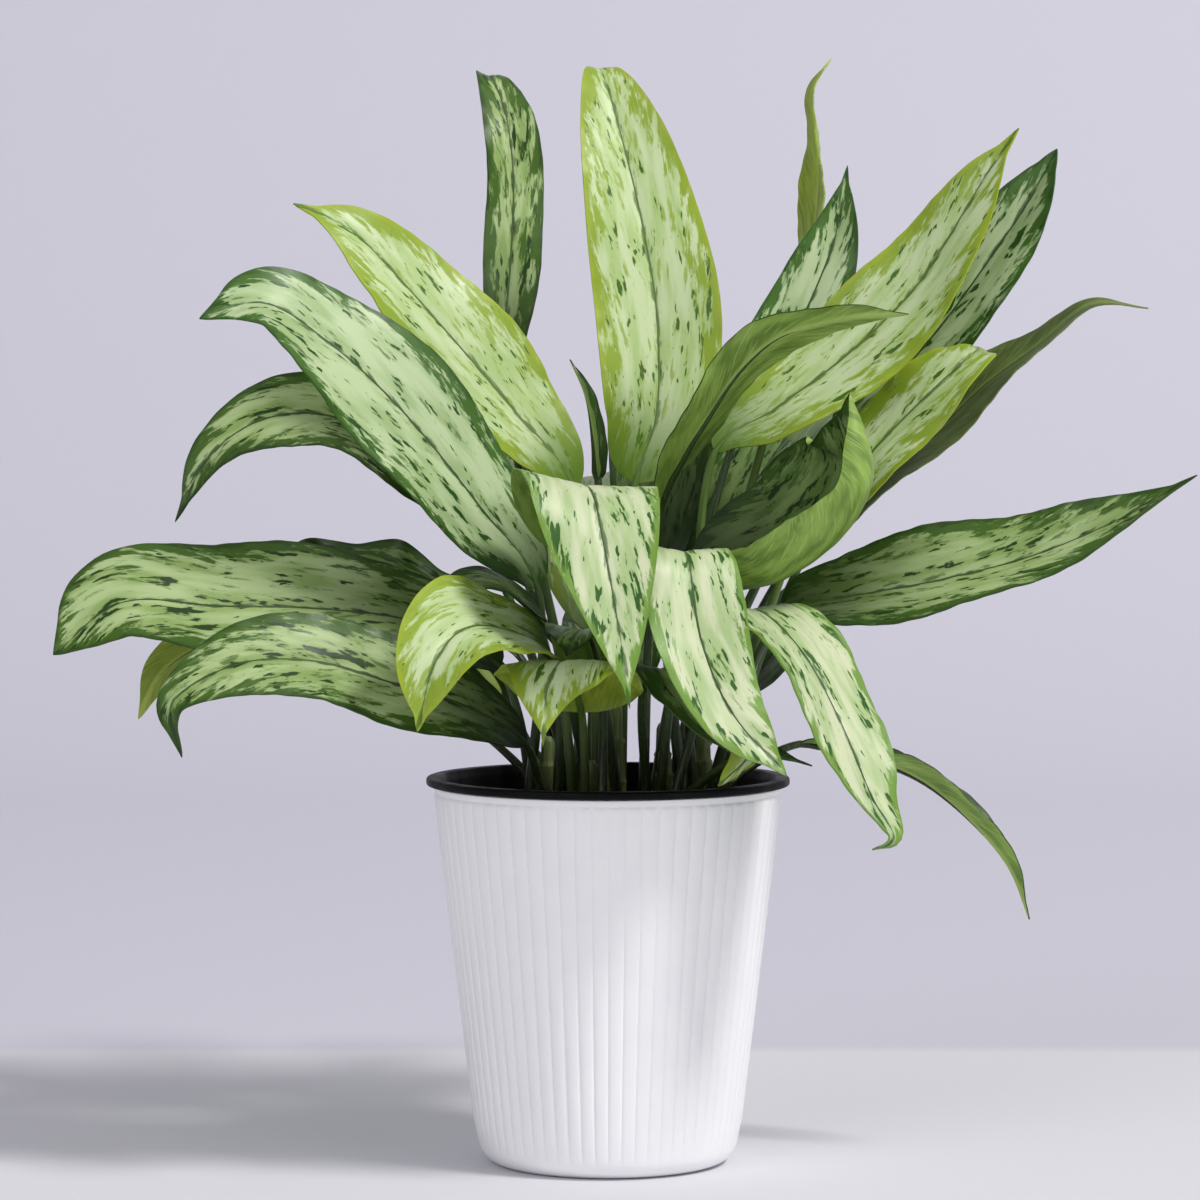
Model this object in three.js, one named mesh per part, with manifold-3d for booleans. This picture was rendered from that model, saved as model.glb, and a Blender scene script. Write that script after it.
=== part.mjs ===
// A potted silver queen chinese evergreen (Aglaonema), in millimetres, +Z up.
// X runs to the right, Y away from the front, and the origin is the centre of the pot's underside.
// A white ribbed pot holds a black nursery pot full of soil. Short canes stand in the soil, with the
// leaf stalks close round them, and each leaf is one solid: its stalk, its midrib and its waved blade.

import * as THREE from 'three';
import * as BufferGeometryUtils from 'three/addons/utils/BufferGeometryUtils.js';
import Module from 'manifold-3d';

// Driving dimensions of the pot and the nursery pot
const POT_HEIGHT = 189.2;
const POT_TOP_RADIUS = 87.8;
const POT_LOW_RADIUS = 66;
const POT_FOOT_RADIUS = 58;
const POT_CORNER_HEIGHT = 10;
const POT_WALL = 2.4;
const POT_FLOOR = 4;
const POT_FLOOR_FILLET = 5;
const POT_CORNER_BULGE = 2.6;
const POT_EDGE = 0.6;
const RIB_COUNT = 64;
const RIB_DEPTH = 0.9;
const RIB_BOTTOM = 13;
const RIB_TOP = 184;
const RIB_CREST = 3;
const RIB_SHOULDER = 1.5;
const RIM_HEIGHT = 193.5;
const RIM_RADIUS = 91;
const RIM_ROUND = 1.2;
const LINER_TOP_RADIUS = 84.6;
const LINER_FLOOR_RADIUS = 60;
const LINER_WALL = 1.8;
const LINER_FLOOR_Z = 8;
const LINER_SIDES = 48;
const FIT = 0.4;

// Driving dimensions of the soil, the canes and the leaf stalks
const SOIL_TOP = 170;
const SOIL_RIPPLE = 1.2;
const SOIL_EDGE = 4;
const SOIL_SIDES = 32;
const SOIL_RINGS = 5;
const HOLE_SIDES = 8;
const FOOT_DEPTH = 14;
const CANE_RADIUS = 6;
const CANE_SIDES = 9;
const CANE_SCARS = 2;
const SCAR_SWELL = 0.4;
const SCAR_LENGTH = 1.4;
const CANE_TAPER = 0.16;
const STALK_FOOT_RADIUS = 3;
const STALK_NECK_RADIUS = 1.9;
const STALK_COLLAR = 2;
const STALK_STRAIGHT = 14;

// Driving dimensions that all leaves share
const BLADE_THICKNESS = 0.8;
const RIB_UNDER_BLADE = 1.5;
const NECK_HALF_WIDTH = 1.2;
const TIP_TAIL = 0.04;
const WAVE_HEIGHT = 2.2;
const WAVE_COUNT = 2.5;
const WAVE_LAG = 2.1;
const WAVE_STEP_PER_LEAF = 1.7;
const USUAL_FOLD = [12];
const USUAL_BODY = [0.55, 0.75];
const FLAT = 1e-3;

const radians = THREE.MathUtils.degToRad;
const potMaterial = new THREE.MeshStandardMaterial({ color: 0xececee, roughness: 0.32, metalness: 0 });
const linerMaterial = new THREE.MeshStandardMaterial({ color: 0x14140f, roughness: 0.5, metalness: 0 });
const soilMaterial = new THREE.MeshStandardMaterial({ color: 0x2b2019, roughness: 0.95, metalness: 0 });
const caneMaterial = new THREE.MeshStandardMaterial({ color: 0x4c5f2c, roughness: 0.6, metalness: 0 });
const leafColours = { silver: 0xa3bd94, lime: 0xb9c878, deep: 0x5d7d45 };

const plant = new THREE.Group();

function addMesh(name, geometry, material) {
  const mesh = new THREE.Mesh(geometry, material);
  mesh.name = name;
  plant.add(mesh);
}

// A closed surface from loose triangles, each a list of three points
function surface(triangles) {
  const geometry = new THREE.BufferGeometry();
  const numbers = triangles.flat().flatMap((point) => [point.x, point.y, point.z]);
  geometry.setAttribute('position', new THREE.Float32BufferAttribute(numbers, 3));
  const merged = BufferGeometryUtils.mergeVertices(geometry, 1e-4);
  merged.computeVertexNormals();
  return merged;
}

// A turned shape: the profile is a list of [radius, height] that closes on itself or on the axis
function turned(profile, sides) {
  const points = profile.map(([radius, height]) => new THREE.Vector2(radius, height));
  const geometry = new THREE.LatheGeometry(points, sides);
  geometry.rotateX(Math.PI / 2);
  return geometry;
}

// Pot: rings of points from the centre of the floor outwards, up the ribbed wall and down inside

function potRadius(z) {
  const share = (z - POT_CORNER_HEIGHT) / (POT_HEIGHT - POT_CORNER_HEIGHT);
  return POT_LOW_RADIUS + (POT_TOP_RADIUS - POT_LOW_RADIUS) * share;
}

function smoothRing(radius, z) {
  const points = [];
  for (let rib = 0; rib < RIB_COUNT; rib += 1) {
    const angle = (2 * Math.PI * rib) / RIB_COUNT;
    points.push(new THREE.Vector3(radius * Math.cos(angle), radius * Math.sin(angle), z));
  }
  return points;
}

// Three points to a rib: the groove, then the two shoulders of the rounded crest
function ribbedRing(z, grooveDrop) {
  const points = [];
  for (let step = 0; step < 3 * RIB_COUNT; step += 1) {
    const groove = step % 3 === 0;
    const angle = (2 * Math.PI * step) / (3 * RIB_COUNT);
    const height = groove ? z - grooveDrop : z;
    const radius = potRadius(height) - (groove ? RIB_DEPTH : 0);
    points.push(new THREE.Vector3(radius * Math.cos(angle), radius * Math.sin(angle), height));
  }
  return points;
}

// Joins two rings of equal count, or a smooth ring to one with three times its points
function joinRings(lower, upper) {
  const triangles = [];
  const fewer = Math.min(lower.length, upper.length);
  for (let i = 0; i < fewer; i += 1) {
    const next = (i + 1) % fewer;
    if (lower.length === upper.length) {
      triangles.push([lower[i], lower[next], upper[next]], [lower[i], upper[next], upper[i]]);
    } else if (lower.length < upper.length) {
      const fine = [0, 1, 2, 3].map((k) => upper[(3 * i + k) % upper.length]);
      triangles.push([lower[i], fine[1], fine[0]], [lower[i], fine[2], fine[1]]);
      triangles.push([lower[i], lower[next], fine[2]], [lower[next], fine[3], fine[2]]);
    } else {
      const fine = [0, 1, 2, 3].map((k) => lower[(3 * i + k) % lower.length]);
      triangles.push([upper[i], fine[0], fine[1]], [upper[i], fine[1], fine[2]]);
      triangles.push([upper[i], fine[2], upper[next]], [upper[next], fine[2], fine[3]]);
    }
  }
  return triangles;
}

function discAt(ring, z) {
  const centre = new THREE.Vector3(0, 0, z);
  return ring.map((point, i) => [centre, ring[(i + 1) % ring.length], point]);
}

function flipped(triangles) {
  return triangles.map(([a, b, c]) => [a, c, b]);
}

function potGeometry() {
  const innerTop = potRadius(POT_HEIGHT) - POT_WALL;
  const innerLow = potRadius(POT_CORNER_HEIGHT) - POT_WALL;
  const rings = [
    smoothRing(POT_FOOT_RADIUS, 0),
    smoothRing(POT_LOW_RADIUS - POT_CORNER_BULGE, 0.3 * POT_CORNER_HEIGHT),
    smoothRing(POT_LOW_RADIUS, POT_CORNER_HEIGHT),
    ribbedRing(RIB_BOTTOM, 0),
    ribbedRing(RIB_TOP, RIB_CREST),
    smoothRing(potRadius(RIB_TOP + RIB_SHOULDER), RIB_TOP + RIB_SHOULDER),
    smoothRing(POT_TOP_RADIUS, POT_HEIGHT - POT_EDGE),
    smoothRing(POT_TOP_RADIUS - POT_EDGE, POT_HEIGHT),
    smoothRing(innerTop, POT_HEIGHT),
    smoothRing(innerLow, POT_CORNER_HEIGHT),
    smoothRing(innerLow - POT_FLOOR_FILLET, POT_FLOOR),
  ];
  const triangles = [];
  for (let i = 0; i + 1 < rings.length; i += 1) {
    triangles.push(...joinRings(rings[i], rings[i + 1]));
  }
  triangles.push(...discAt(rings[0], 0));
  triangles.push(...flipped(discAt(rings[rings.length - 1], POT_FLOOR)));
  return surface(triangles);
}

// Nursery pot: a thin tapered cup whose rolled rim rests on the pot's rim

function linerGeometry() {
  const underRim = POT_HEIGHT + FIT;
  const profile = [
    [0, LINER_FLOOR_Z],
    [LINER_FLOOR_RADIUS, LINER_FLOOR_Z],
    [LINER_TOP_RADIUS, underRim],
    [RIM_RADIUS - 0.6 * RIM_ROUND, underRim],
    [RIM_RADIUS, underRim + 0.6 * RIM_ROUND],
    [RIM_RADIUS, RIM_HEIGHT - RIM_ROUND],
    [RIM_RADIUS - RIM_ROUND, RIM_HEIGHT],
    [LINER_TOP_RADIUS - LINER_WALL + RIM_ROUND, RIM_HEIGHT],
    [LINER_TOP_RADIUS - LINER_WALL, RIM_HEIGHT - RIM_ROUND],
    [LINER_FLOOR_RADIUS - LINER_WALL, LINER_FLOOR_Z + LINER_WALL],
    [0, LINER_FLOOR_Z + LINER_WALL],
  ];
  return turned(profile, LINER_SIDES);
}

// Canes: where each stands, and how high it rises over the soil
const canes = {
  a: { x: -30, y: -4, rise: 44 },
  b: { x: -8, y: -30, rise: 34 },
  c: { x: 4, y: 6, rise: 62 },
  d: { x: 28, y: -24, rise: 40 },
  e: { x: 48, y: 6, rise: 46 },
  f: { x: -14, y: 34, rise: 42 },
  g: { x: 28, y: 36, rise: 48 },
};

// A jointed cane with slight swellings at its leaf scars and a rounded end
function caneGeometry(cane) {
  const foot = SOIL_TOP - FOOT_DEPTH;
  const top = SOIL_TOP + cane.rise;
  const profile = [[0, foot], [CANE_RADIUS, foot]];
  for (let i = 1; i <= CANE_SCARS; i += 1) {
    const z = SOIL_TOP + (cane.rise * i) / (CANE_SCARS + 1);
    const radius = CANE_RADIUS * (1 - CANE_TAPER * i);
    profile.push([radius + SCAR_SWELL, z], [radius - SCAR_SWELL, z + SCAR_LENGTH]);
  }
  profile.push([CANE_RADIUS / 2, top - CANE_RADIUS / 2], [0, top]);
  const geometry = turned(profile, CANE_SIDES);
  geometry.translate(cane.x, cane.y, 0);
  return geometry;
}

// Leaves. midrib lists points of the blade's middle line from its base to its tip, as [x, y, z].
// heading is the direction, seen from above, that the leaf grows towards, in degrees from +X.
// roll turns the blade about its midrib, fold lifts both halves into a V, and curl bends each half,
// all in degrees; roll and fold may change from base to tip, and curl is [left half, right half].
// body is the pair of exponents of the outline: small numbers make a full base or a full tip.
const leaves = [
  {
    name: 'leaf_left_long', cane: 'a', around: 200, heading: 185, width: 67, colour: 'silver',
    midrib: [[-35, -14, 288], [-63, -29, 329], [-102, -46, 378], [-136, -58, 410], [-167, -67, 429],
      [-197, -76, 421]],
    roll: [-60, -60, -40], fold: [8], body: [0.6, 0.54],
  },
  {
    name: 'leaf_left_lime', cane: 'c', around: 190, heading: 185, width: 61, colour: 'lime',
    midrib: [[-17, 2, 337], [-49, -1, 379], [-84, -5, 420], [-111, -8, 450], [-130, -10, 468],
      [-156, -12, 479]],
    roll: [-60, -60, -50], fold: [8], body: [0.66, 0.8],
  },
  {
    name: 'leaf_upright_left', cane: 'f', around: 295, heading: 110, width: 32, colour: 'deep',
    midrib: [[-51, 22, 382], [-52, 26, 414], [-49, 32, 455], [-48, 40, 496], [-52, 50, 527],
      [-60, 68, 547], [-65, 92, 545]],
    body: [0.6, 0.6],
  },
  {
    name: 'leaf_left_hooked', cane: 'f', around: 245, heading: 180, width: 46, colour: 'deep',
    midrib: [[-60, 18, 303], [-100, 15, 350], [-136, 12, 373], [-170, 8, 373], [-197, 2, 356],
      [-216, -3, 321]],
    roll: [-50, -50, -60], fold: [8], body: [0.95, 0.9],
  },
  {
    name: 'leaf_left_broad', cane: 'a', around: 150, heading: 185, width: 66, colour: 'silver',
    midrib: [[-54, -8, 248], [-93, -18, 271], [-142, -32, 279], [-190, -45, 281], [-238, -55, 283],
      [-270, -62, 258]],
    roll: [-50, -55, -50], fold: [6], curl: [10, 25], body: [0.55, 0.42],
  },
  {
    name: 'leaf_left_back', cane: 'f', around: 200, heading: 175, width: 54, colour: 'deep',
    midrib: [[-44, 30, 251], [-70, 38, 270], [-100, 44, 282], [-131, 48, 288], [-167, 50, 285],
      [-198, 52, 277]],
    roll: [-50], fold: [8], wave: 5, waves: 4, body: [1.1, 0.75],
  },
  {
    name: 'leaf_left_low', cane: 'a', around: 250, heading: 190, width: 53, colour: 'silver',
    midrib: [[-41, -26, 212], [-68, -45, 231], [-104, -62, 244], [-142, -78, 256], [-179, -92, 255],
      [-209, -100, 236], [-204, -100, 211]],
    roll: [-50, -55, -50], fold: [8], body: [0.6, 0.8],
  },
  {
    name: 'leaf_left_under', cane: 'a', around: 100, heading: 180, width: 50, colour: 'deep',
    midrib: [[-54, 8, 231], [-104, 5, 252], [-154, 2, 262], [-194, -3, 262], [-221, -8, 247],
      [-234, -10, 223]],
    roll: [-35, -40, -45], fold: [8], body: [0.55, 0.6],
  },
  {
    name: 'leaf_front_left', cane: 'b', around: 200, heading: 225, width: 62, colour: 'lime',
    midrib: [[-28, -52, 256], [-49, -79, 271], [-69, -107, 273], [-82, -126, 258], [-90, -136, 226]],
    roll: [-34, -34, -20], wave: 1.5, body: [0.5, 0.8],
  },
  {
    name: 'leaf_front_left_inner', cane: 'a', around: 300, heading: 200, width: 31, colour: 'deep',
    midrib: [[-26, -26, 262], [-41, -35, 282], [-57, -41, 292], [-72, -46, 291], [-83, -50, 279]],
    roll: [-20], fold: [8], wave: 0.5, body: [0.9, 0.75],
  },
  {
    name: 'leaf_front_small', cane: 'b', around: 250, heading: 255, width: 74, colour: 'lime',
    midrib: [[-13, -48, 229], [-19, -75, 252], [-24, -100, 256], [-29, -113, 245], [-31, -124, 218]],
    fold: [8], curl: [-30, -30], body: [0.55, 1.2],
  },
  {
    name: 'leaf_front_shade', cane: 'b', around: 300, heading: 260, width: 42, colour: 'deep',
    midrib: [[-3, -34, 239], [-8, -46, 264], [-13, -60, 270], [-17, -74, 267], [-20, -86, 259]],
    fold: [8],
  },
  {
    name: 'leaf_front_centre', cane: 'c', around: 270, heading: 270, width: 70, colour: 'silver',
    midrib: [[-11, -30, 303], [-13, -62, 338], [-7, -98, 336], [0, -120, 302], [6, -132, 267],
      [10, -141, 237]],
    roll: [-8, -8, 0], fold: [4], body: [0.38, 0.95],
  },
  {
    name: 'leaf_front_right', cane: 'd', around: 255, heading: 285, width: 48, colour: 'silver',
    midrib: [[33, -57, 264], [35, -82, 306], [38, -104, 307], [44, -121, 268], [58, -128, 235],
      [84, -134, 205]],
    fold: [6], body: [0.72, 0.65],
  },
  {
    name: 'leaf_front_under', cane: 'd', around: 210, heading: 300, width: 40, colour: 'deep',
    midrib: [[17, -52, 240], [26, -74, 252], [39, -92, 241], [56, -103, 222], [97, -112, 208]],
    fold: [6], body: [0.55, 1],
  },
  {
    name: 'leaf_right_drooping', cane: 'd', around: 300, heading: 315, width: 56, colour: 'silver',
    midrib: [[55, -36, 257], [70, -64, 280], [91, -85, 264], [111, -102, 228], [125, -114, 194],
      [135, -120, 174], [125, -122, 169]],
    fold: [8], body: [0.55, 0.68],
  },
  {
    name: 'leaf_upright_centre', cane: 'c', around: 75, heading: 95, width: 65, colour: 'lime',
    midrib: [[14, 17, 340], [24, 21, 372], [25, 30, 422], [17, 40, 473], [6, 52, 519], [-3, 68, 549],
      [-6, 92, 552]],
    body: [0.42, 0.68],
  },
  {
    name: 'leaf_new_spear', cane: 'c', around: 125, heading: 150, width: 12, colour: 'deep',
    midrib: [[-5, 14, 342], [-7, 14, 364], [-11, 13, 384], [-19, 12, 402]],
    fold: [50], wave: 0, body: [0.35, 0.7],
  },
  {
    name: 'leaf_right_arching', cane: 'd', around: 30, heading: 335, width: 35, colour: 'deep',
    midrib: [[26, -26, 329], [36, -36, 353], [47, -46, 371], [64, -56, 396], [82, -66, 412],
      [100, -74, 418], [120, -82, 422], [144, -86, 423]],
    roll: [0, -25, -45], fold: [8], wave: 1.5, body: [0.55, 0.75],
  },
  {
    name: 'leaf_upright_right', cane: 'g', around: 245, heading: 60, width: 44, colour: 'silver',
    midrib: [[64, 24, 362], [86, 30, 399], [104, 38, 435], [115, 44, 463], [119, 48, 481],
      [122, 51, 501]],
    roll: [20, 20, 10], body: [0.55, 0.85],
  },
  {
    name: 'leaf_upright_thin', cane: 'g', around: 62, heading: 60, width: 35, colour: 'lime',
    midrib: [[88, 52, 392], [101, 60, 443], [108, 68, 485], [108, 72, 516], [105, 74, 540],
      [115, 76, 557]],
    roll: [-42, -45, -45], fold: [14], body: [0.55, 0.7],
  },
  {
    name: 'leaf_right_lime', cane: 'e', around: 90, heading: 355, width: 57, colour: 'lime',
    midrib: [[54, 8, 356], [83, 4, 377], [120, 0, 405], [153, -5, 438], [174, -10, 471],
      [189, -13, 496], [203, -16, 516]],
    roll: [60, 60, 50], fold: [8], body: [0.7, 0.78],
  },
  {
    name: 'leaf_right_silver', cane: 'g', around: 290, heading: 10, width: 44, colour: 'silver',
    midrib: [[115, 32, 362], [142, 32, 389], [169, 30, 420], [194, 28, 455], [212, 26, 482],
      [226, 24, 508]],
    roll: [55, 55, 45], fold: [8], body: [0.55, 0.5],
  },
  {
    name: 'leaf_right_short', cane: 'e', around: 335, heading: 5, width: 41, colour: 'lime',
    midrib: [[95, 8, 312], [119, 4, 342], [143, 0, 368], [165, -4, 390], [181, 0, 404],
      [187, 20, 408]],
    roll: [55, 55, 40], fold: [8], body: [0.55, 0.5],
  },
  {
    name: 'leaf_right_thread', cane: 'g', around: 335, heading: 0, width: 46, colour: 'deep',
    midrib: [[93, 42, 300], [128, 42, 336], [163, 40, 362], [191, 38, 389], [219, 36, 410],
      [245, 34, 430], [273, 30, 428]],
    roll: [40, 35, 20], fold: [14], body: [0.5, 1],
  },
  {
    name: 'leaf_right_cupped', cane: 'e', around: 235, heading: 345, width: 114, colour: 'deep',
    midrib: [[46, -24, 283], [88, -40, 302], [115, -54, 324], [125, -66, 346], [122, -74, 367],
      [116, -80, 385]],
    roll: [50], fold: [5], curl: [10, 125], wave: 1, body: [0.5, 0.66],
  },
  {
    name: 'leaf_right_long', cane: 'e', around: 288, heading: 350, width: 60, colour: 'silver',
    midrib: [[87, -27, 276], [118, -38, 285], [157, -52, 293], [204, -68, 306], [241, -80, 322],
      [264, -87, 335], [282, -92, 346]],
    roll: [45, 45, 40], fold: [16], body: [0.5, 0.9],
  },
  {
    name: 'leaf_right_trailing', cane: 'e', around: 22, heading: 0, width: 26, colour: 'deep',
    midrib: [[97, 22, 208], [132, 18, 201], [157, 12, 191], [182, 6, 171], [201, 0, 148],
      [211, -4, 122]],
    fold: [20, 42, 40], wave: 1, body: [0.5, 0.7],
  },
  {
    name: 'leaf_rim_small', cane: 'd', around: 345, heading: 330, width: 20, colour: 'lime',
    midrib: [[70, -52, 210], [63, -64, 203], [53, -74, 195]],
    fold: [10], curl: [-60, -60], wave: 0.4,
  },
  {
    name: 'leaf_back_centre_high', cane: 'g', around: 175, heading: 88, width: 58, colour: 'silver',
    midrib: [[22, 58, 285], [28, 88, 356], [32, 132, 418], [33, 180, 438], [33, 222, 418]],
  },
  {
    name: 'leaf_back_centre_mid', cane: 'f', around: 60, heading: 98, width: 60, colour: 'lime',
    midrib: [[-8, 66, 262], [-16, 105, 318], [-22, 155, 338], [-28, 205, 316], [-30, 232, 282]],
  },
  {
    name: 'leaf_back_centre_low', cane: 'f', around: 10, heading: 88, width: 58, colour: 'silver',
    midrib: [[2, 62, 222], [4, 100, 258], [6, 150, 262], [6, 195, 228]],
  },
  {
    name: 'leaf_back_left_high', cane: 'f', around: 108, heading: 128, width: 58, colour: 'silver',
    midrib: [[-42, 62, 290], [-72, 98, 352], [-98, 140, 376], [-116, 180, 366], [-124, 205, 340]],
  },
  {
    name: 'leaf_back_left_low', cane: 'f', around: 155, heading: 138, width: 60, colour: 'deep',
    midrib: [[-52, 66, 215], [-102, 108, 262], [-150, 146, 262], [-186, 176, 232]],
  },
  {
    name: 'leaf_back_right_high', cane: 'g', around: 112, heading: 55, width: 68, colour: 'silver',
    midrib: [[46, 62, 284], [82, 102, 346], [114, 148, 380], [142, 192, 378], [156, 216, 358]],
  },
  {
    name: 'leaf_back_right_low', cane: 'g', around: 18, heading: 42, width: 58, colour: 'deep',
    midrib: [[66, 66, 225], [108, 106, 272], [146, 142, 288], [178, 170, 280]],
  },
  {
    name: 'leaf_back_left_side', foot: [-37, 35], heading: 158, width: 50, colour: 'silver',
    midrib: [[-60, 50, 208], [-108, 74, 234], [-160, 92, 242], [-204, 104, 236]],
  },
  {
    name: 'leaf_back_right_side', foot: [56, 34], heading: 38, width: 48, colour: 'silver',
    midrib: [[98, 60, 296], [132, 82, 342], [162, 108, 374], [190, 134, 386]],
  },
];

// The stalk's foot stands beside its cane, a hair's breadth away from it, or on its own in the soil
function stalkFoot(leaf) {
  if (leaf.foot) {
    return leaf.foot;
  }
  const cane = canes[leaf.cane];
  const reach = CANE_RADIUS + STALK_FOOT_RADIUS + 2 * FIT;
  const angle = radians(leaf.around);
  return [cane.x + reach * Math.cos(angle), cane.y + reach * Math.sin(angle)];
}

// Points along a polyline by length, with the direction at each
function routeOf(samples) {
  const lengths = [0];
  for (let i = 1; i < samples.length; i += 1) {
    lengths.push(lengths[i - 1] + samples[i].distanceTo(samples[i - 1]));
  }
  const total = lengths[lengths.length - 1];
  function pointAt(share) {
    const target = THREE.MathUtils.clamp(share, 0, 1) * total;
    let i = 1;
    while (i < lengths.length - 1 && lengths[i] < target) {
      i += 1;
    }
    const along = (target - lengths[i - 1]) / (lengths[i] - lengths[i - 1]);
    return samples[i - 1].clone().lerp(samples[i], along);
  }
  function directionAt(share) {
    return pointAt(share + 0.02).sub(pointAt(share - 0.02)).normalize();
  }
  return { pointAt, directionAt, total };
}

// A value that changes evenly through a list from base to tip
function between(list, share) {
  const place = share * (list.length - 1);
  const i = Math.min(Math.floor(place), Math.max(list.length - 2, 0));
  const next = Math.min(i + 1, list.length - 1);
  return THREE.MathUtils.lerp(list[i], list[next], place - i);
}

// The blade's half width as a share of the widest: full in the middle, drawn out to a thread
function outline(share, [base, tip]) {
  const u = THREE.MathUtils.clamp(share / (1 - TIP_TAIL), 0, 1);
  const widest = base / (base + tip);
  return (u / widest) ** base * ((1 - u) / (1 - widest)) ** tip;
}

// Side and upward directions of a leaf at a point, from the way it grows
function leafFrame(direction, headingDegrees, rollDegrees) {
  const heading = radians(headingDegrees);
  const level = new THREE.Vector3(-Math.sin(heading), Math.cos(heading), 0);
  const up = new THREE.Vector3().crossVectors(direction, level).normalize();
  const side = new THREE.Vector3().crossVectors(up, direction);
  side.applyAxisAngle(direction, radians(rollDegrees));
  up.applyAxisAngle(direction, radians(rollDegrees));
  return { side, up };
}

const ACROSS = [-1, -0.5, 0, 0.5, 1];

// A round section of the stalk, as five upper and five lower points
function stalkSection(centre, frame, radius) {
  const place = (degrees) => centre.clone()
    .addScaledVector(frame.side, radius * Math.cos(radians(degrees)))
    .addScaledVector(frame.up, radius * Math.sin(radians(degrees)));
  return {
    top: ACROSS.map((across) => place(90 - 72 * across)),
    bottom: ACROSS.map((across) => place(72 * across - 90)),
  };
}

// A section of the blade: two bent halves of even thickness, with the midrib standing out beneath
function bladeSection(leaf, centre, frame, share, phase) {
  const spread = outline(share, leaf.body ?? USUAL_BODY);
  const half = Math.hypot((leaf.width / 2) * spread, NECK_HALF_WIDTH * (1 - share));
  const fold = radians(between(leaf.fold ?? USUAL_FOLD, share));
  const top = [];
  const bottom = [];
  ACROSS.forEach((across) => {
    const left = across > 0;
    const bend = radians((leaf.curl ?? [0, 0])[left ? 0 : 1]) || FLAT;
    const reach = Math.abs(across);
    const slope = fold + bend * reach;
    const out = (Math.sin(slope) - Math.sin(fold)) / bend;
    const rise = (Math.cos(fold) - Math.cos(slope)) / bend;
    const turn = 2 * Math.PI * (leaf.waves ?? WAVE_COUNT) * share + phase + (left ? WAVE_LAG : 0);
    const wave = (leaf.wave ?? WAVE_HEIGHT) * reach * reach * Math.sin(turn) * Math.min(1, 1.3 * spread);
    const sign = Math.sign(across);
    const middle = centre.clone()
      .addScaledVector(frame.side, half * out * sign)
      .addScaledVector(frame.up, half * rise + wave);
    const normal = frame.up.clone().multiplyScalar(Math.cos(slope))
      .addScaledVector(frame.side, -sign * Math.sin(slope));
    const under = across === 0 ? RIB_UNDER_BLADE * (1 - share) : 0;
    top.push(middle.clone().addScaledVector(normal, BLADE_THICKNESS / 2));
    bottom.push(middle.clone().addScaledVector(normal, -BLADE_THICKNESS / 2 - under));
  });
  return { top, bottom };
}

// Skins a row of sections. Both faces of the blade are split alike, out and forward from the midrib.
function skinned(sections) {
  const triangles = [];
  const last = ACROSS.length - 1;
  for (let i = 0; i + 1 < sections.length; i += 1) {
    const here = sections[i];
    const next = sections[i + 1];
    for (let j = 0; j < last; j += 1) {
      for (const [skin, upward] of [['top', true], ['bottom', false]]) {
        const [a, b, c, d] = [here[skin][j], here[skin][j + 1], next[skin][j + 1], next[skin][j]];
        const pair = ACROSS[j] < 0 ? [[a, d, b], [d, c, b]] : [[a, d, c], [a, c, b]];
        triangles.push(...(upward ? pair : flipped(pair)));
      }
    }
    const edge = (j) => [here.top[j], next.top[j], next.bottom[j], here.bottom[j]];
    const [a, b, c, d] = edge(0);
    triangles.push([a, d, c], [a, c, b]);
    const [e, f, g, h] = edge(last);
    triangles.push([e, f, g], [e, g, h]);
  }
  for (const [section, outward] of [[sections[0], false], [sections[sections.length - 1], true]]) {
    for (let j = 0; j < last; j += 1) {
      const [a, b, c, d] = [section.top[j], section.top[j + 1], section.bottom[j + 1], section.bottom[j]];
      const pair = [[a, b, c], [a, c, d]];
      triangles.push(...(outward ? flipped(pair) : pair));
    }
  }
  return triangles;
}

const STALK_BENDS = [0.35, 0.7, 1];
const BLADE_STATIONS = [0.04, 0.12, 0.22, 0.33, 0.44, 0.55, 0.66, 0.77, 0.87, 0.94, 1];
const SAMPLES_PER_SPAN = 16;

// The stalk starts straight up out of its hole, then bends over towards the blade
function leafGeometry(leaf, phase) {
  const [x, y] = stalkFoot(leaf);
  const heights = [-FOOT_DEPTH, STALK_COLLAR, STALK_STRAIGHT];
  const route = heights.map((height) => [x, y, SOIL_TOP + height]);
  const points = [...route, ...leaf.midrib].map((point) => new THREE.Vector3(...point));
  const curve = new THREE.CatmullRomCurve3(points, false, 'centripetal');
  const samples = curve.getPoints(SAMPLES_PER_SPAN * (points.length - 1));
  const split = SAMPLES_PER_SPAN * route.length;
  const stalk = routeOf(samples.slice(0, split + 1));
  const blade = routeOf(samples.slice(split));
  const roll = leaf.roll ?? [0];
  const collarShare = (FOOT_DEPTH + STALK_COLLAR) / stalk.total;
  const bends = STALK_BENDS.map((share) => THREE.MathUtils.lerp(collarShare, 1, share));
  const sections = [0, collarShare, ...bends].map((share) => {
    const frame = leafFrame(stalk.directionAt(share), leaf.heading, roll[0]);
    const radius = THREE.MathUtils.lerp(STALK_FOOT_RADIUS, STALK_NECK_RADIUS, share);
    return stalkSection(stalk.pointAt(share), frame, radius);
  });
  BLADE_STATIONS.forEach((share) => {
    const frame = leafFrame(blade.directionAt(share), leaf.heading, between(roll, share));
    sections.push(bladeSection(leaf, blade.pointAt(share), frame, share, phase));
  });
  return surface(skinned(sections));
}

// Soil: a low uneven top on a tapered plug, with a plain hole for every cane and stalk

const wasm = await Module();
wasm.setup();

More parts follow.
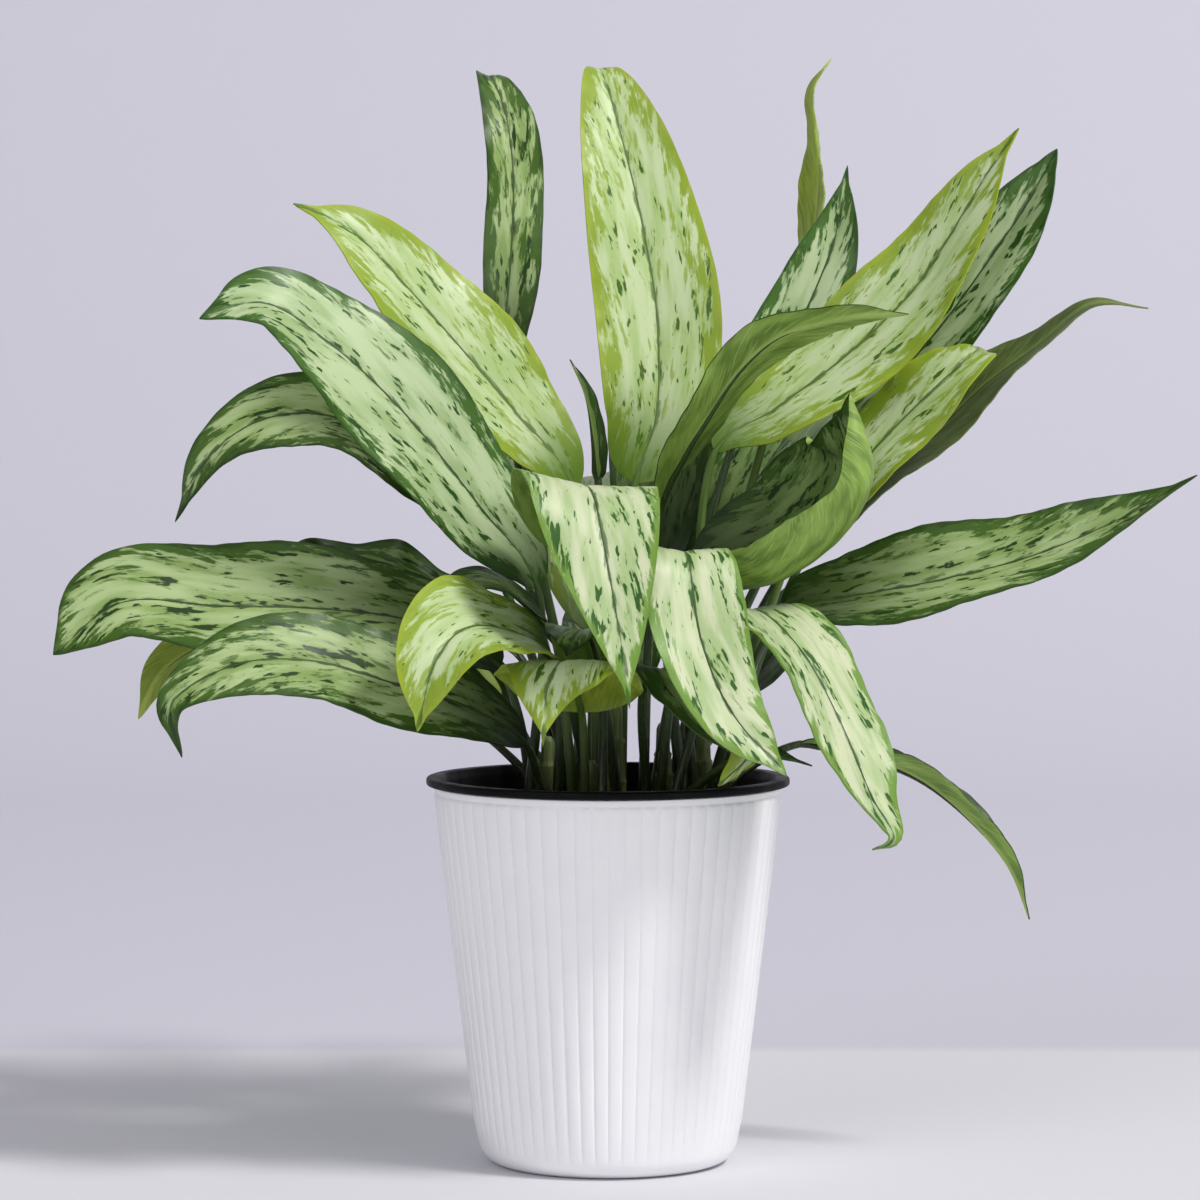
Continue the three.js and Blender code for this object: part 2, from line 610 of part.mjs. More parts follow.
function solidOf(geometry) {
  const bare = geometry.clone();
  bare.deleteAttribute('normal');
  bare.deleteAttribute('uv');
  const merged = BufferGeometryUtils.mergeVertices(bare, 1e-4);
  const vertProperties = Float32Array.from(merged.attributes.position.array);
  const triVerts = Uint32Array.from(merged.index.array);
  return new wasm.Manifold(new wasm.Mesh({ numProp: 3, vertProperties, triVerts }));
}

function geometryOf(solid) {
  const mesh = solid.getMesh();
  const geometry = new THREE.BufferGeometry();
  geometry.setAttribute('position', new THREE.Float32BufferAttribute(mesh.vertProperties, 3));
  geometry.setIndex(Array.from(mesh.triVerts));
  geometry.computeVertexNormals();
  return geometry;
}

function linerInnerRadius(z) {
  const floor = LINER_FLOOR_Z + LINER_WALL;
  const share = (z - floor) / (RIM_HEIGHT - RIM_ROUND - floor);
  return THREE.MathUtils.lerp(LINER_FLOOR_RADIUS, LINER_TOP_RADIUS, share) - LINER_WALL;
}

function soilGeometry() {
  const bottom = LINER_FLOOR_Z + LINER_WALL + FIT;
  const profile = [
    [0, bottom],
    [linerInnerRadius(bottom) - 2 * FIT, bottom],
    [linerInnerRadius(SOIL_TOP - SOIL_EDGE) - FIT, SOIL_TOP - SOIL_EDGE],
  ];
  for (let i = SOIL_RINGS; i >= 0; i -= 1) {
    profile.push([(linerInnerRadius(SOIL_TOP) - 2 * FIT) * (i / SOIL_RINGS), SOIL_TOP]);
  }
  const geometry = turned(profile, SOIL_SIDES);
  const place = geometry.attributes.position;
  for (let i = 0; i < place.count; i += 1) {
    const [x, y, z] = [place.getX(i), place.getY(i), place.getZ(i)];
    if (z > SOIL_TOP - 1) {
      const lump = Math.sin(x * 0.31 + 1) * Math.sin(y * 0.27) + 0.6 * Math.sin(x * 0.11 - y * 0.17);
      place.setZ(i, z + SOIL_RIPPLE * lump);
    }
  }
  let soil = solidOf(geometry);
  const drill = (x, y, snugRadius) => {
    const radius = (snugRadius + FIT) / Math.cos(Math.PI / HOLE_SIDES);
    const length = 2 * FOOT_DEPTH;
    const hole = new THREE.CylinderGeometry(radius, radius, length, HOLE_SIDES);
    hole.rotateX(Math.PI / 2);
    hole.translate(x, y, SOIL_TOP - FOOT_DEPTH - FIT + length / 2);
    soil = soil.subtract(solidOf(hole));
  };
  Object.values(canes).forEach((cane) => drill(cane.x, cane.y, CANE_RADIUS));
  leaves.forEach((leaf) => drill(...stalkFoot(leaf), STALK_FOOT_RADIUS));
  return geometryOf(soil);
}

addMesh('pot', potGeometry(), potMaterial);
addMesh('liner', linerGeometry(), linerMaterial);
addMesh('soil', soilGeometry(), soilMaterial);

Object.values(canes).forEach((cane, i) => {
  addMesh(`cane_${i + 1}`, caneGeometry(cane), caneMaterial);
});

leaves.forEach((leaf, i) => {
  const color = leafColours[leaf.colour];
  const material = new THREE.MeshStandardMaterial({ color, roughness: 0.45, metalness: 0 });
  addMesh(leaf.name, leafGeometry(leaf, WAVE_STEP_PER_LEAF * i), material);
});

export default plant;
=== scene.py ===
# %% [markdown]
# # A potted silver queen chinese evergreen
# This file dresses a plant whose solids were modelled and measured beforehand. The solids give each
# pot, stem and leaf its place and size. Here every one of them gets a finer shape and its real finish.
# The plan goes from the outside in: the studio, the pots, the soil, the canes, then the leaves, which
# are most of the work, because a leaf is judged on its waved edge, its veins and its blotches.

# %% Load the solids
import math

import bpy
import numpy as np
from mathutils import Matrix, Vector


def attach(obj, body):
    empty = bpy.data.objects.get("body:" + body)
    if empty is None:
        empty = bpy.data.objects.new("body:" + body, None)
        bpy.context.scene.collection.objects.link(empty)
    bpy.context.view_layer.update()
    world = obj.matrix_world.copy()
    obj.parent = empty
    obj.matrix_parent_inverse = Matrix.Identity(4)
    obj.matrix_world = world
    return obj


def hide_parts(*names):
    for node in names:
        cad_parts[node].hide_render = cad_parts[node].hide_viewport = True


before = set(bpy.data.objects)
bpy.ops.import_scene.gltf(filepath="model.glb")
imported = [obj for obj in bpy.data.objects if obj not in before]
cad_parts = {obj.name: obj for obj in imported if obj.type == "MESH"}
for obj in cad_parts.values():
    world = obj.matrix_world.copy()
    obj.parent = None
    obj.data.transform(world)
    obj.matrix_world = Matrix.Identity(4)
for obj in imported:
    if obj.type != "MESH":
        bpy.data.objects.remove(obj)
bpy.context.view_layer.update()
MM = 0.001

# %% [markdown]
# ## Tools that every piece uses
# An operator acts on everything that is selected, so each step starts by clearing the selection. A
# finished piece keeps its place in its mesh and its object at the origin, hangs under the root, and
# the solids that it stands for are hidden. These small functions do that, so that the cells below
# can be about shapes.

# %% Small tools
def choose(obj):
    """Selects one object alone and makes it the active one."""
    bpy.ops.object.select_all(action="DESELECT")
    obj.select_set(True)
    bpy.context.view_layer.objects.active = obj


def named(name):
    """Names the primitive that was just added and returns it."""
    obj = bpy.context.object
    obj.name = name
    obj.data.name = name
    return obj


def finished(obj, materials, slot, *solids):
    """Gives a piece its materials, hangs it under the root and hides the solids that it stands for."""
    choose(obj)
    bpy.ops.object.transform_apply(location=True, rotation=True, scale=True)
    obj.data.materials.clear()
    for material in materials:
        obj.data.materials.append(material)
    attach(obj, "root")
    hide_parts(*solids)


def smooth(degrees):
    """Smooths the active object, but keeps every edge sharp that turns by more than this."""
    bpy.ops.object.shade_smooth_by_angle(angle=math.radians(degrees))


def colour(red, green, blue):
    """A colour given in the 0 to 255 steps of a colour picker, as the linear light a shader wants."""
    steps = [value / 255 for value in (red, green, blue)]
    linear = [v / 12.92 if v <= 0.04045 else ((v + 0.055) / 1.055) ** 2.4 for v in steps]
    return (*linear, 1.0)


# %% [markdown]
# ## Camera
# The plant is seen with a long lens, from about two thirds of its height and tilted a little down,
# so upright things stay nearly parallel. The focal length is given in pixels of a square picture,
# and a sensor 36 mm wide turns it into the lens that the camera asks for.

# %% Camera
PICTURE_WIDTH = 1200
FOCAL_PIXELS = 4485
SENSOR_WIDTH = 36
CAMERA_PLACE = Vector((-0.004, -2.240, 0.385))
CAMERA_PITCH = 0.0460
VIEW_LIMIT = 20

bpy.ops.object.camera_add(location=CAMERA_PLACE, rotation=(math.pi / 2 - CAMERA_PITCH, 0, 0))
camera = bpy.context.object
camera.name = "camera"
camera.data.sensor_width = SENSOR_WIDTH
camera.data.lens = FOCAL_PIXELS * SENSOR_WIDTH / PICTURE_WIDTH
camera.data.clip_end = VIEW_LIMIT
bpy.context.scene.camera = camera
print("lens", round(camera.data.lens, 1), "mm")

# %% [markdown]
# ## Node helpers
# A material is a small network of nodes. Adding each node and each wire takes several lines, so
# these helpers add a node, set it, and join its inputs in one call. An input may be a number, a
# colour, or the output of another node. A Mix node has sockets of the same name for numbers, vectors
# and colours, so the colour ones are asked for by their number.

# %% Node helpers
MIX_SHARE, MIX_FIRST, MIX_SECOND = 0, 6, 7
MIX_RESULT = 2


class Network:
    """The nodes of one material, with a Principled shader at the end."""

    def __init__(self, name):
        self.material = bpy.data.materials.new(name)
        self.material.use_nodes = True
        self.tree = self.material.node_tree
        self.shader = self.tree.nodes["Principled BSDF"]

    def add(self, kind, output, inputs, **settings):
        """Adds a node, joins its inputs, and returns the output that is asked for."""
        node = self.tree.nodes.new(kind)
        for key, value in settings.items():
            setattr(node, key, value)
        for key, value in inputs.items():
            self.join(value, node.inputs[key])
        return node.outputs[output]

    def join(self, value, socket):
        if isinstance(value, bpy.types.NodeSocket):
            self.tree.links.new(value, socket)
        else:
            socket.default_value = value

    def place(self):
        """The point on the object, in metres."""
        return self.add("ShaderNodeTexCoord", "Object", {})

    def attribute(self, name):
        return self.add("ShaderNodeAttribute", "Vector", {}, attribute_name=name)

    def parts(self, vector):
        """The x, y and z of a vector."""
        node = self.tree.nodes.new("ShaderNodeSeparateXYZ")
        self.join(vector, node.inputs[0])
        return node.outputs[0], node.outputs[1], node.outputs[2]

    def scaled(self, vector, scale, offset=(0, 0, 0)):
        inputs = {"Vector": vector, "Scale": scale, "Location": offset}
        return self.add("ShaderNodeMapping", "Vector", inputs)

    def noise(self, vector, scale=1.0, detail=2.0, roughness=0.5):
        inputs = {"Vector": vector, "Scale": scale, "Detail": detail, "Roughness": roughness}
        return self.add("ShaderNodeTexNoise", "Fac", inputs)

    def math(self, operation, first, second=0.0):
        return self.add("ShaderNodeMath", "Value", {0: first, 1: second}, operation=operation)

    def steps(self, value, low, high, first=0.0, last=1.0):
        """Rises smoothly from first to last as the value goes from low to high."""
        inputs = {"Value": value, "From Min": low, "From Max": high, "To Min": first, "To Max": last}
        return self.add("ShaderNodeMapRange", "Result", inputs, interpolation_type="SMOOTHSTEP")

    def mix(self, share, first, second):
        """Goes from the first colour to the second as the share goes from 0 to 1."""
        node = self.tree.nodes.new("ShaderNodeMix")
        node.data_type = "RGBA"
        self.join(share, node.inputs[MIX_SHARE])
        self.join(first, node.inputs[MIX_FIRST])
        self.join(second, node.inputs[MIX_SECOND])
        return node.outputs[MIX_RESULT]

    def bump(self, height, distance, strength=1.0):
        inputs = {"Height": height, "Distance": distance, "Strength": strength}
        self.join(self.add("ShaderNodeBump", "Normal", inputs), self.shader.inputs["Normal"])

    def finish(self, **values):
        """Sets the shader's own sockets. A name's underscores stand for spaces."""
        for key, value in values.items():
            self.join(value, self.shader.inputs[key.replace("_", " ")])
        return self.material


# %% [markdown]
# ## Studio
# The plant stands on pale seamless paper: a wide floor that curves up into a wall far behind, so
# that nothing stands in the way when the plant is seen from another side. A little way behind the
# pot the paper turns to the backdrop's lavender tone, darkened as painted shade that stands in for
# the dimmer light on an upright backdrop. Further back it grows paler, which is painted light that
# makes up for the light that it gets less of there. A large light high on the right is the key, and
# it throws one soft shadow to the left. Two weaker ones in front, a faint one above and a pale sky
# keep the leaves' shade open.

# %% Studio sweep
FLOOR_FRONT = -9.0
FLOOR_BACK = 3.8
SWEEP_RADIUS = 1.8
WALL_TOP = 4.5
SWEEP_HALF_WIDTH = 9.0
SWEEP_STEPS = 24
BACK_EDGE_SLACK = 0.01
PAINTED_SHADE_BAND = (0.36, 0.40)
PAINTED_LIGHT_REACH = (0.4, 2.8)

bpy.ops.mesh.primitive_plane_add(size=1)
sweep = named("sweep")
sweep.scale = (2 * SWEEP_HALF_WIDTH, FLOOR_BACK - FLOOR_FRONT, 1)
sweep.location = (0, (FLOOR_BACK + FLOOR_FRONT) / 2, 0)
bpy.ops.object.transform_apply(location=True, rotation=True, scale=True)
corners = sweep.data.vertices
for vertex in corners:
    vertex.select = vertex.co.y > FLOOR_BACK - BACK_EDGE_SLACK
for edge in sweep.data.edges:
    edge.select = all(corners[i].select for i in edge.vertices)
for face in sweep.data.polygons:
    face.select = False
bpy.ops.object.mode_set(mode="EDIT")
bpy.ops.mesh.select_mode(type="EDGE")
bpy.ops.mesh.extrude_region_move(TRANSFORM_OT_translate={"value": (0, 0, WALL_TOP)})
bpy.ops.object.mode_set(mode="OBJECT")
corner = sweep.modifiers.new("corner", "BEVEL")
corner.width = SWEEP_RADIUS
corner.segments = SWEEP_STEPS
corner.limit_method = "ANGLE"
bpy.ops.object.modifier_apply(modifier="corner")
bpy.ops.object.shade_smooth()

paper = Network("studio paper")
paper_back = paper.parts(paper.place())[1]
# Painted shade: past this band the paper darkens to a lavender tone that stands in for a dimmer
# upright backdrop.
tone = paper.mix(paper.steps(paper_back, *PAINTED_SHADE_BAND), colour(225, 224, 230), colour(211, 209, 220))
# Painted light: further back the paper grows paler to make up for the light that it gets less of
# there.
tone = paper.mix(paper.steps(paper_back, *PAINTED_LIGHT_REACH), tone, colour(217, 215, 227))
sweep.data.materials.append(paper.finish(Base_Color=tone, Roughness=0.8))
print("sweep", len(sweep.data.polygons), "faces")

# %% Studio lights
SKY_COLOUR = (0.86, 0.86, 0.92, 1)
SKY_STRENGTH = 0.285


def soft_light(name, place, target, size, power, tint):
    bpy.ops.object.light_add(type="AREA", location=place)
    light = bpy.context.object
    light.name = name
    light.data.shape = "DISK"
    light.data.size = size
    light.data.energy = power
    light.data.color = tint
    light.rotation_euler = (Vector(target) - Vector(place)).to_track_quat("-Z", "Y").to_euler()


soft_light("key light", (4.8, -3.3, 7.2), (0.0, 0.0, 0.2), 1.8, 524, (1.0, 0.99, 0.96))
soft_light("fill light", (-4.0, -5.5, 3.2), (0.0, 0.0, 0.3), 5.0, 122, (0.98, 0.99, 1.0))
soft_light("front light", (5.4, -4.8, 2.2), (0.0, 0.0, 0.15), 3.8, 84, (1.0, 1.0, 1.0))
soft_light("top light", (0.0, -0.2, 2.3), (0.0, 0.0, 0.2), 1.8, 3, (1.0, 1.0, 1.0))
world = bpy.data.worlds.new("pale sky")
world.use_nodes = True
sky = world.node_tree.nodes["Background"]
sky.inputs["Color"].default_value = SKY_COLOUR
sky.inputs["Strength"].default_value = SKY_STRENGTH
bpy.context.scene.world = world
bpy.context.scene.view_settings.view_transform = "Standard"

# %% [markdown]
# ## Outer pot
# The real pot is white glossy plastic with 64 upright reeds that end in small round tops under the
# rim. It could be a spun profile, but a spun wall is smooth. So one ring of points is drawn out step
# by step, as on a potter's wheel, with twelve points to a reed, and then the wall between the reeds
# is pressed in. That keeps every reed evenly round, and the reeds catch the light as real ones do.

# %% Raising a pot ring by ring
def raised(name, sides, profile):
    """Draws a filled ring out along a profile of (radius, height), and closes the last ring."""
    radius, height = profile[0]
    bpy.ops.object.select_all(action="DESELECT")
    bpy.ops.mesh.primitive_circle_add(vertices=sides, radius=radius, fill_type="NGON",
                                      location=(0, 0, height))
    obj = named(name)
    bpy.ops.object.transform_apply(location=True, rotation=True, scale=True)
    bpy.ops.object.mode_set(mode="EDIT")
    for next_radius, next_height in profile[1:]:
        rise = (0, 0, next_height - height)
        bpy.ops.mesh.extrude_edges_move(TRANSFORM_OT_translate={"value": rise})
        share = next_radius / radius
        bpy.ops.transform.resize(value=(share, share, 1), center_override=(0, 0, next_height))
        radius, height = next_radius, next_height
    bpy.ops.mesh.edge_face_add()
    bpy.ops.mesh.select_all(action="SELECT")
    bpy.ops.mesh.normals_make_consistent(inside=False)
    bpy.ops.object.mode_set(mode="OBJECT")
    return obj


def rounded(corners, steps=4):
    """A profile whose middle corners, given as (radius, height, rounding), are turned into arcs."""
    profile = [corners[0][:2]]
    for before, here, after in zip(corners, corners[1:], corners[2:]):
        corner = np.array(here[:2], float)
        to_before = np.array(before[:2], float) - corner
        to_after = np.array(after[:2], float) - corner
        start = corner + to_before / np.linalg.norm(to_before) * here[2]
        end = corner + to_after / np.linalg.norm(to_after) * here[2]
        for step in range(steps + 1):
            t = step / steps
            point = (1 - t) ** 2 * start + 2 * t * (1 - t) * corner + t * t * end
            profile.append(tuple(point))
    profile.append(corners[-1][:2])
    return profile


# %% Outer pot
POT_TOP = 189.2 * MM
POT_TOP_RADIUS = 87.8 * MM
POT_LOW = 10 * MM
POT_LOW_RADIUS = 66 * MM
POT_WALL = 2.4 * MM
POT_FLOOR = 4 * MM
POT_MIDDLE = 40 * MM
FOOT_INSET = 2 * MM
FOOT_ROUNDING = 11 * MM
FOOT_TOP = 22 * MM
LIP_ROUNDING = 0.7 * MM
LIP_GAP = 0.5 * MM
REED_COUNT = 64
REED_POINTS = 12
REED_DEPTH = 0.9 * MM
REED_ROUNDNESS = 0.98
REED_BOTTOM = 9 * MM
REED_TOP = 185.6 * MM
REED_END = 4 * MM
BAND_HEIGHT = 1.2 * MM
SKIN_DEPTH = 1.2 * MM
HEIGHT_SLACK = 0.1 * MM
WALL_RINGS = 14
REED_END_RINGS = 8
POT_SMOOTH_ANGLE = 50


def pot_radius(height):
    share = (height - POT_LOW) / (POT_TOP - POT_LOW)
    return POT_LOW_RADIUS + (POT_TOP_RADIUS - POT_LOW_RADIUS) * share


foot = rounded([
    (POT_MIDDLE, 0, 0),
    (pot_radius(0) - FOOT_INSET, 0, FOOT_ROUNDING),
    (pot_radius(FOOT_TOP), FOOT_TOP, 0),
], 8)
wall_heights = np.linspace(FOOT_TOP, REED_TOP - REED_END, WALL_RINGS)[1:]
end_heights = np.linspace(REED_TOP - REED_END, REED_TOP, REED_END_RINGS)[1:]
wall = [(pot_radius(h), h) for h in (*wall_heights, *end_heights)]
lip = rounded([
    (pot_radius(REED_TOP + LIP_GAP), REED_TOP + LIP_GAP, 0),
    (POT_TOP_RADIUS, POT_TOP, LIP_ROUNDING),
    (POT_TOP_RADIUS - POT_WALL, POT_TOP, LIP_ROUNDING),
    (POT_LOW_RADIUS - POT_WALL, POT_FLOOR, 5 * MM),
    (POT_MIDDLE, POT_FLOOR, 0),
])
pot = raised("white_pot", REED_COUNT * REED_POINTS, [*foot, *wall, *lip])

points = np.array([vertex.co for vertex in pot.data.vertices])
angle = np.arctan2(points[:, 1], points[:, 0])
radius = np.hypot(points[:, 0], points[:, 1])
height = points[:, 2]
across_reed = 2 * np.mod(angle * REED_COUNT / (2 * math.pi), 1) - 1
crest = np.sqrt(1 - REED_ROUNDNESS * across_reed ** 2)
to_end = np.clip((REED_TOP - height) / REED_END, 0, 1)
dome = np.sqrt(1 - (1 - to_end) ** 2)
fade_in = np.clip((height - REED_BOTTOM) / REED_END, 0, 1)
outside = radius > pot_radius(height) - SKIN_DEPTH
reeded = outside & (height < REED_TOP + HEIGHT_SLACK)
band = outside & (height > REED_TOP - HEIGHT_SLACK) & (height < REED_TOP + BAND_HEIGHT)
press = np.where(reeded, REED_DEPTH * (1 - crest * dome), 0) * fade_in
press = np.where(band, REED_DEPTH, press)
points[:, :2] *= ((radius - press) / np.maximum(radius, 1 * MM))[:, None]
pot.data.vertices.foreach_set("co", points.ravel())
choose(pot)
smooth(POT_SMOOTH_ANGLE)

glaze = Network("white plastic")
mottle = glaze.noise(glaze.place(), 60, 2)
tone = glaze.mix(mottle, colour(249, 249, 250), colour(243, 243, 246))
glaze.bump(glaze.noise(glaze.place(), 240, 1), 0.0001, 0.3)
white_plastic = glaze.finish(Base_Color=tone, Roughness=0.3, Specular_IOR_Level=0.5,
                             Coat_Weight=0.25, Coat_Roughness=0.12)
finished(pot, [white_plastic], "pot", "pot")
print("pot", len(pot.data.polygons), "faces,", round(pot.dimensions.x * 1000, 1), "mm across")

# %% [markdown]
# ## Nursery pot
# The black pot inside is thin moulded plastic. Only its rolled rim and the top of its wall show, so
# the rim gets the care: a soft rolled edge that rests on the white rim, and a step inside it.

# %% Nursery pot
RIM_TOP = 193.5 * MM
RIM_RADIUS = 91 * MM
LINER_RADIUS = 84.6 * MM
LINER_FLOOR_RADIUS = 60 * MM
LINER_FLOOR = 8 * MM
LINER_WALL = 1.8 * MM
LINER_MIDDLE = 30 * MM
LINER_SIDES = 144
CLEARANCE = 0.4 * MM

liner_profile = rounded([
    (LINER_MIDDLE, LINER_FLOOR, 0),
    (LINER_FLOOR_RADIUS, LINER_FLOOR, 3 * MM),
    (LINER_RADIUS, POT_TOP + CLEARANCE, 0.6 * MM),
    (RIM_RADIUS, POT_TOP + CLEARANCE, 1.2 * MM),
    (RIM_RADIUS, RIM_TOP, 1.6 * MM),
    (LINER_RADIUS - LINER_WALL + 1.5 * MM, RIM_TOP, 1.2 * MM),
    (LINER_RADIUS - LINER_WALL, RIM_TOP - 4 * MM, 1 * MM),
    (LINER_FLOOR_RADIUS - LINER_WALL, LINER_FLOOR + LINER_WALL, 3 * MM),
    (LINER_MIDDLE, LINER_FLOOR + LINER_WALL, 0),
], 6)
liner = raised("nursery_pot", LINER_SIDES, liner_profile)
smooth(POT_SMOOTH_ANGLE)

black = Network("black plastic")
wear = black.noise(black.place(), 90, 4)
black.bump(black.noise(black.place(), 900, 2), 0.0001, 0.4)
black_plastic = black.finish(Base_Color=black.mix(wear, colour(2, 3, 2), colour(5, 6, 5)),
                             Roughness=black.steps(wear, 0.3, 0.7, 0.4, 0.55),
                             Specular_IOR_Level=0.12)
finished(liner, [black_plastic], "liner", "liner")
print("nursery pot", len(liner.data.polygons), "faces")

# %% [markdown]
# ## Soil
# Potting mix is a dark crumb of bark and peat. The plug's top is a fine grid that is pushed up and
# down, and a few hundred loose crumbs are set on it. One crumb is modelled, from a sphere whose
# points are moved a little, and then copied with its own turn and size.

# %% Soil
SOIL_TOP = 170 * MM
SOIL_DEPTH = 30 * MM
SOIL_RADIUS = 80.2 * MM
SOIL_SIDES = 96
SOIL_CUTS = 7
LUMP_HEIGHT = 1.2 * MM
CRUMB_COUNT = 420
CRUMB_SIZES = (1.2 * MM, 3.4 * MM)
CRUMB_UNEVENNESS = 0.25
chance = np.random.default_rng(11)


def lumps(x, y):
    """The soil's unevenness: the same low lumps as the solid's, in metres."""
    x, y = x / MM, y / MM
    low = np.sin(x * 0.31 + 1) * np.sin(y * 0.27) + 0.6 * np.sin(x * 0.11 - y * 0.17)
    fine = 0.35 * np.sin(x * 1.3 + 2 * np.sin(y * 0.7)) * np.sin(y * 1.1 + 1.7 * np.sin(x * 0.9))
    return LUMP_HEIGHT * (low + fine)


bpy.ops.object.select_all(action="DESELECT")
bpy.ops.mesh.primitive_cylinder_add(vertices=SOIL_SIDES, radius=SOIL_RADIUS, depth=SOIL_DEPTH,
                                    end_fill_type="TRIFAN",
                                    location=(0, 0, SOIL_TOP - SOIL_DEPTH / 2))
soil = named("potting_mix")
bpy.ops.object.transform_apply(location=True, rotation=True, scale=True)
for face in soil.data.polygons:
    face.select = face.normal.z > 0.9
bpy.ops.object.mode_set(mode="EDIT")
bpy.ops.mesh.select_mode(type="FACE")
bpy.ops.mesh.subdivide(number_cuts=SOIL_CUTS)
bpy.ops.object.mode_set(mode="OBJECT")
for vertex in soil.data.vertices:
    if vertex.co.z > SOIL_TOP - 0.01 * MM:
        vertex.co.z += lumps(vertex.co.x, vertex.co.y)

bpy.ops.object.select_all(action="DESELECT")
bpy.ops.mesh.primitive_ico_sphere_add(subdivisions=2, radius=1)
crumb = named("crumb")
bpy.ops.object.mode_set(mode="EDIT")
bpy.ops.transform.vertex_random(offset=CRUMB_UNEVENNESS, seed=4)
bpy.ops.object.mode_set(mode="OBJECT")
crumbs = []
for i in range(CRUMB_COUNT):
    size = chance.uniform(*CRUMB_SIZES)
    reach = (SOIL_RADIUS - 3 * MM) * math.sqrt(chance.uniform())
    turn = chance.uniform(0, 2 * math.pi)
    x, y = reach * math.cos(turn), reach * math.sin(turn)
    copy = crumb.copy()
    copy.data = crumb.data.copy()
    copy.scale = (size, size * chance.uniform(0.5, 1), size * chance.uniform(0.3, 0.7))
    copy.rotation_euler = chance.uniform(-0.5, 0.5, 3) + np.array([0, 0, turn * 5])
    copy.location = (x, y, SOIL_TOP + lumps(x, y) + 0.1 * size)
    bpy.context.collection.objects.link(copy)
    crumbs.append(copy)
bpy.data.objects.remove(crumb)
choose(soil)
for copy in crumbs:
    copy.select_set(True)
bpy.ops.object.join()

mix = Network("potting mix")
crumb_noise = mix.noise(mix.place(), 420, 5, 0.7)
bark = mix.noise(mix.place(), 130, 2)
soil_tone = mix.mix(mix.steps(crumb_noise, 0.35, 0.65), colour(26, 19, 14), colour(66, 48, 34))
soil_tone = mix.mix(mix.steps(bark, 0.55, 0.7), soil_tone, colour(92, 66, 44))
mix.bump(crumb_noise, 0.0012, 0.9)
finished(soil, [mix.finish(Base_Color=soil_tone, Roughness=0.95)], "soil", "soil")
print("soil", len(soil.data.polygons), "faces with", len(crumbs), "crumbs")

# %% [markdown]
# ## Canes
# The leaf stalks grow from short green canes. A cane is ringed where old leaves have dropped, and it
# is paler and woodier towards the soil. It is raised ring by ring, as the pots are, then moved to
# its place among the stalks. `SCAR_RINGS` lists how far each ring of a scar stands out and how high
# it is above the scar's middle, and `TOP_RINGS` the share of the girth and the depth under the top.
# `CANES` gives each cane's place and its rise over the soil. Lengths in all three are in
# millimetres.

# %% Canes
CANE_RADIUS = 6 * MM
CANE_FOOT = 14 * MM
CANE_TAPER = 0.16
SCAR_COUNT = 2
SCAR_RINGS = [(0.1, -2.4), (0.5, -0.6), (0.4, 0.2), (-0.3, 1), (-0.45, 3)]
TOP_RINGS = [(0.55, 3.4), (0.4, 1), (0.2, 0)]
CANE_SIDES = 20
CANE_SMOOTH_ANGLE = 60
CANES = {
    "a": (-30, -4, 44), "b": (-8, -30, 34), "c": (4, 6, 62), "d": (28, -24, 40),
    "e": (48, 6, 46), "f": (-14, 34, 42), "g": (28, 36, 48),
}

cane_net = Network("cane")
cane_height = cane_net.parts(cane_net.place())[2]
cane_fibre = cane_net.noise(cane_net.scaled(cane_net.place(), (900, 900, 60)), 1, 3)
cane_tone = cane_net.mix(cane_net.steps(cane_height, 0.17, 0.21),
                         colour(104, 98, 60), colour(78, 104, 46))
cane_tone = cane_net.mix(cane_net.steps(cane_fibre, 0.35, 0.65), cane_tone, colour(122, 128, 78))
cane_net.bump(cane_fibre, 0.0004, 0.6)
cane_skin = cane_net.finish(Base_Color=cane_tone, Roughness=0.6)

for number, (x, y, rise) in enumerate(CANES.values(), start=1):
    rise = rise * MM
    foot = SOIL_TOP - CANE_FOOT
    profile = [(CANE_RADIUS - 1 * MM, foot), (CANE_RADIUS - 0.1 * MM, foot + 1 * MM)]
    for scar in range(1, SCAR_COUNT + 1):
        height = SOIL_TOP + rise * scar / (SCAR_COUNT + 1)
        girth = CANE_RADIUS * (1 - CANE_TAPER * scar)
        profile += [(girth + out * MM, height + up * MM) for out, up in SCAR_RINGS]
    top = SOIL_TOP + rise
    profile += [(CANE_RADIUS * share, top - down * MM) for share, down in TOP_RINGS]
    cane = raised(f"stem_{number}", CANE_SIDES, profile)
    cane.location = (x * MM, y * MM, 0)
    smooth(CANE_SMOOTH_ANGLE)
    finished(cane, [cane_skin], "cane", f"cane_{number}")
print(len(CANES), "canes")

# %% [markdown]
# ## The leaf table
# No two leaves of the plant are alike, so each has its own entry here. After its name comes `start`:
# the cane that its stalk stands beside and the direction in which it stands there, or the place of
# a stalk away from the canes. Then come `heading`, the way the leaf grows, seen from above, its
# `width`, its `look`, which is the kind of leaf that the solid was listed as, and its `midrib`, which
# lists points along the blade's middle line, in millimetres. `roll` turns the blade about its midrib,
# `fold` lifts its halves into a V, and `curl` bends each half, all in degrees. `wave` and `waves` say
# how high and how often the edge waves. `body` shapes the outline: small numbers make a full base or
# a full tip. The same numbers made the solids, so the fine leaves and the solids agree.

# %% Leaf table
def grown(name, start, heading, width, look, midrib, **shape):
    """One leaf of the table, with whatever is its own in `shape`."""
    return dict(name="leaf_" + name, start=start, heading=heading, width=width, look=look,
                midrib=midrib, **shape)


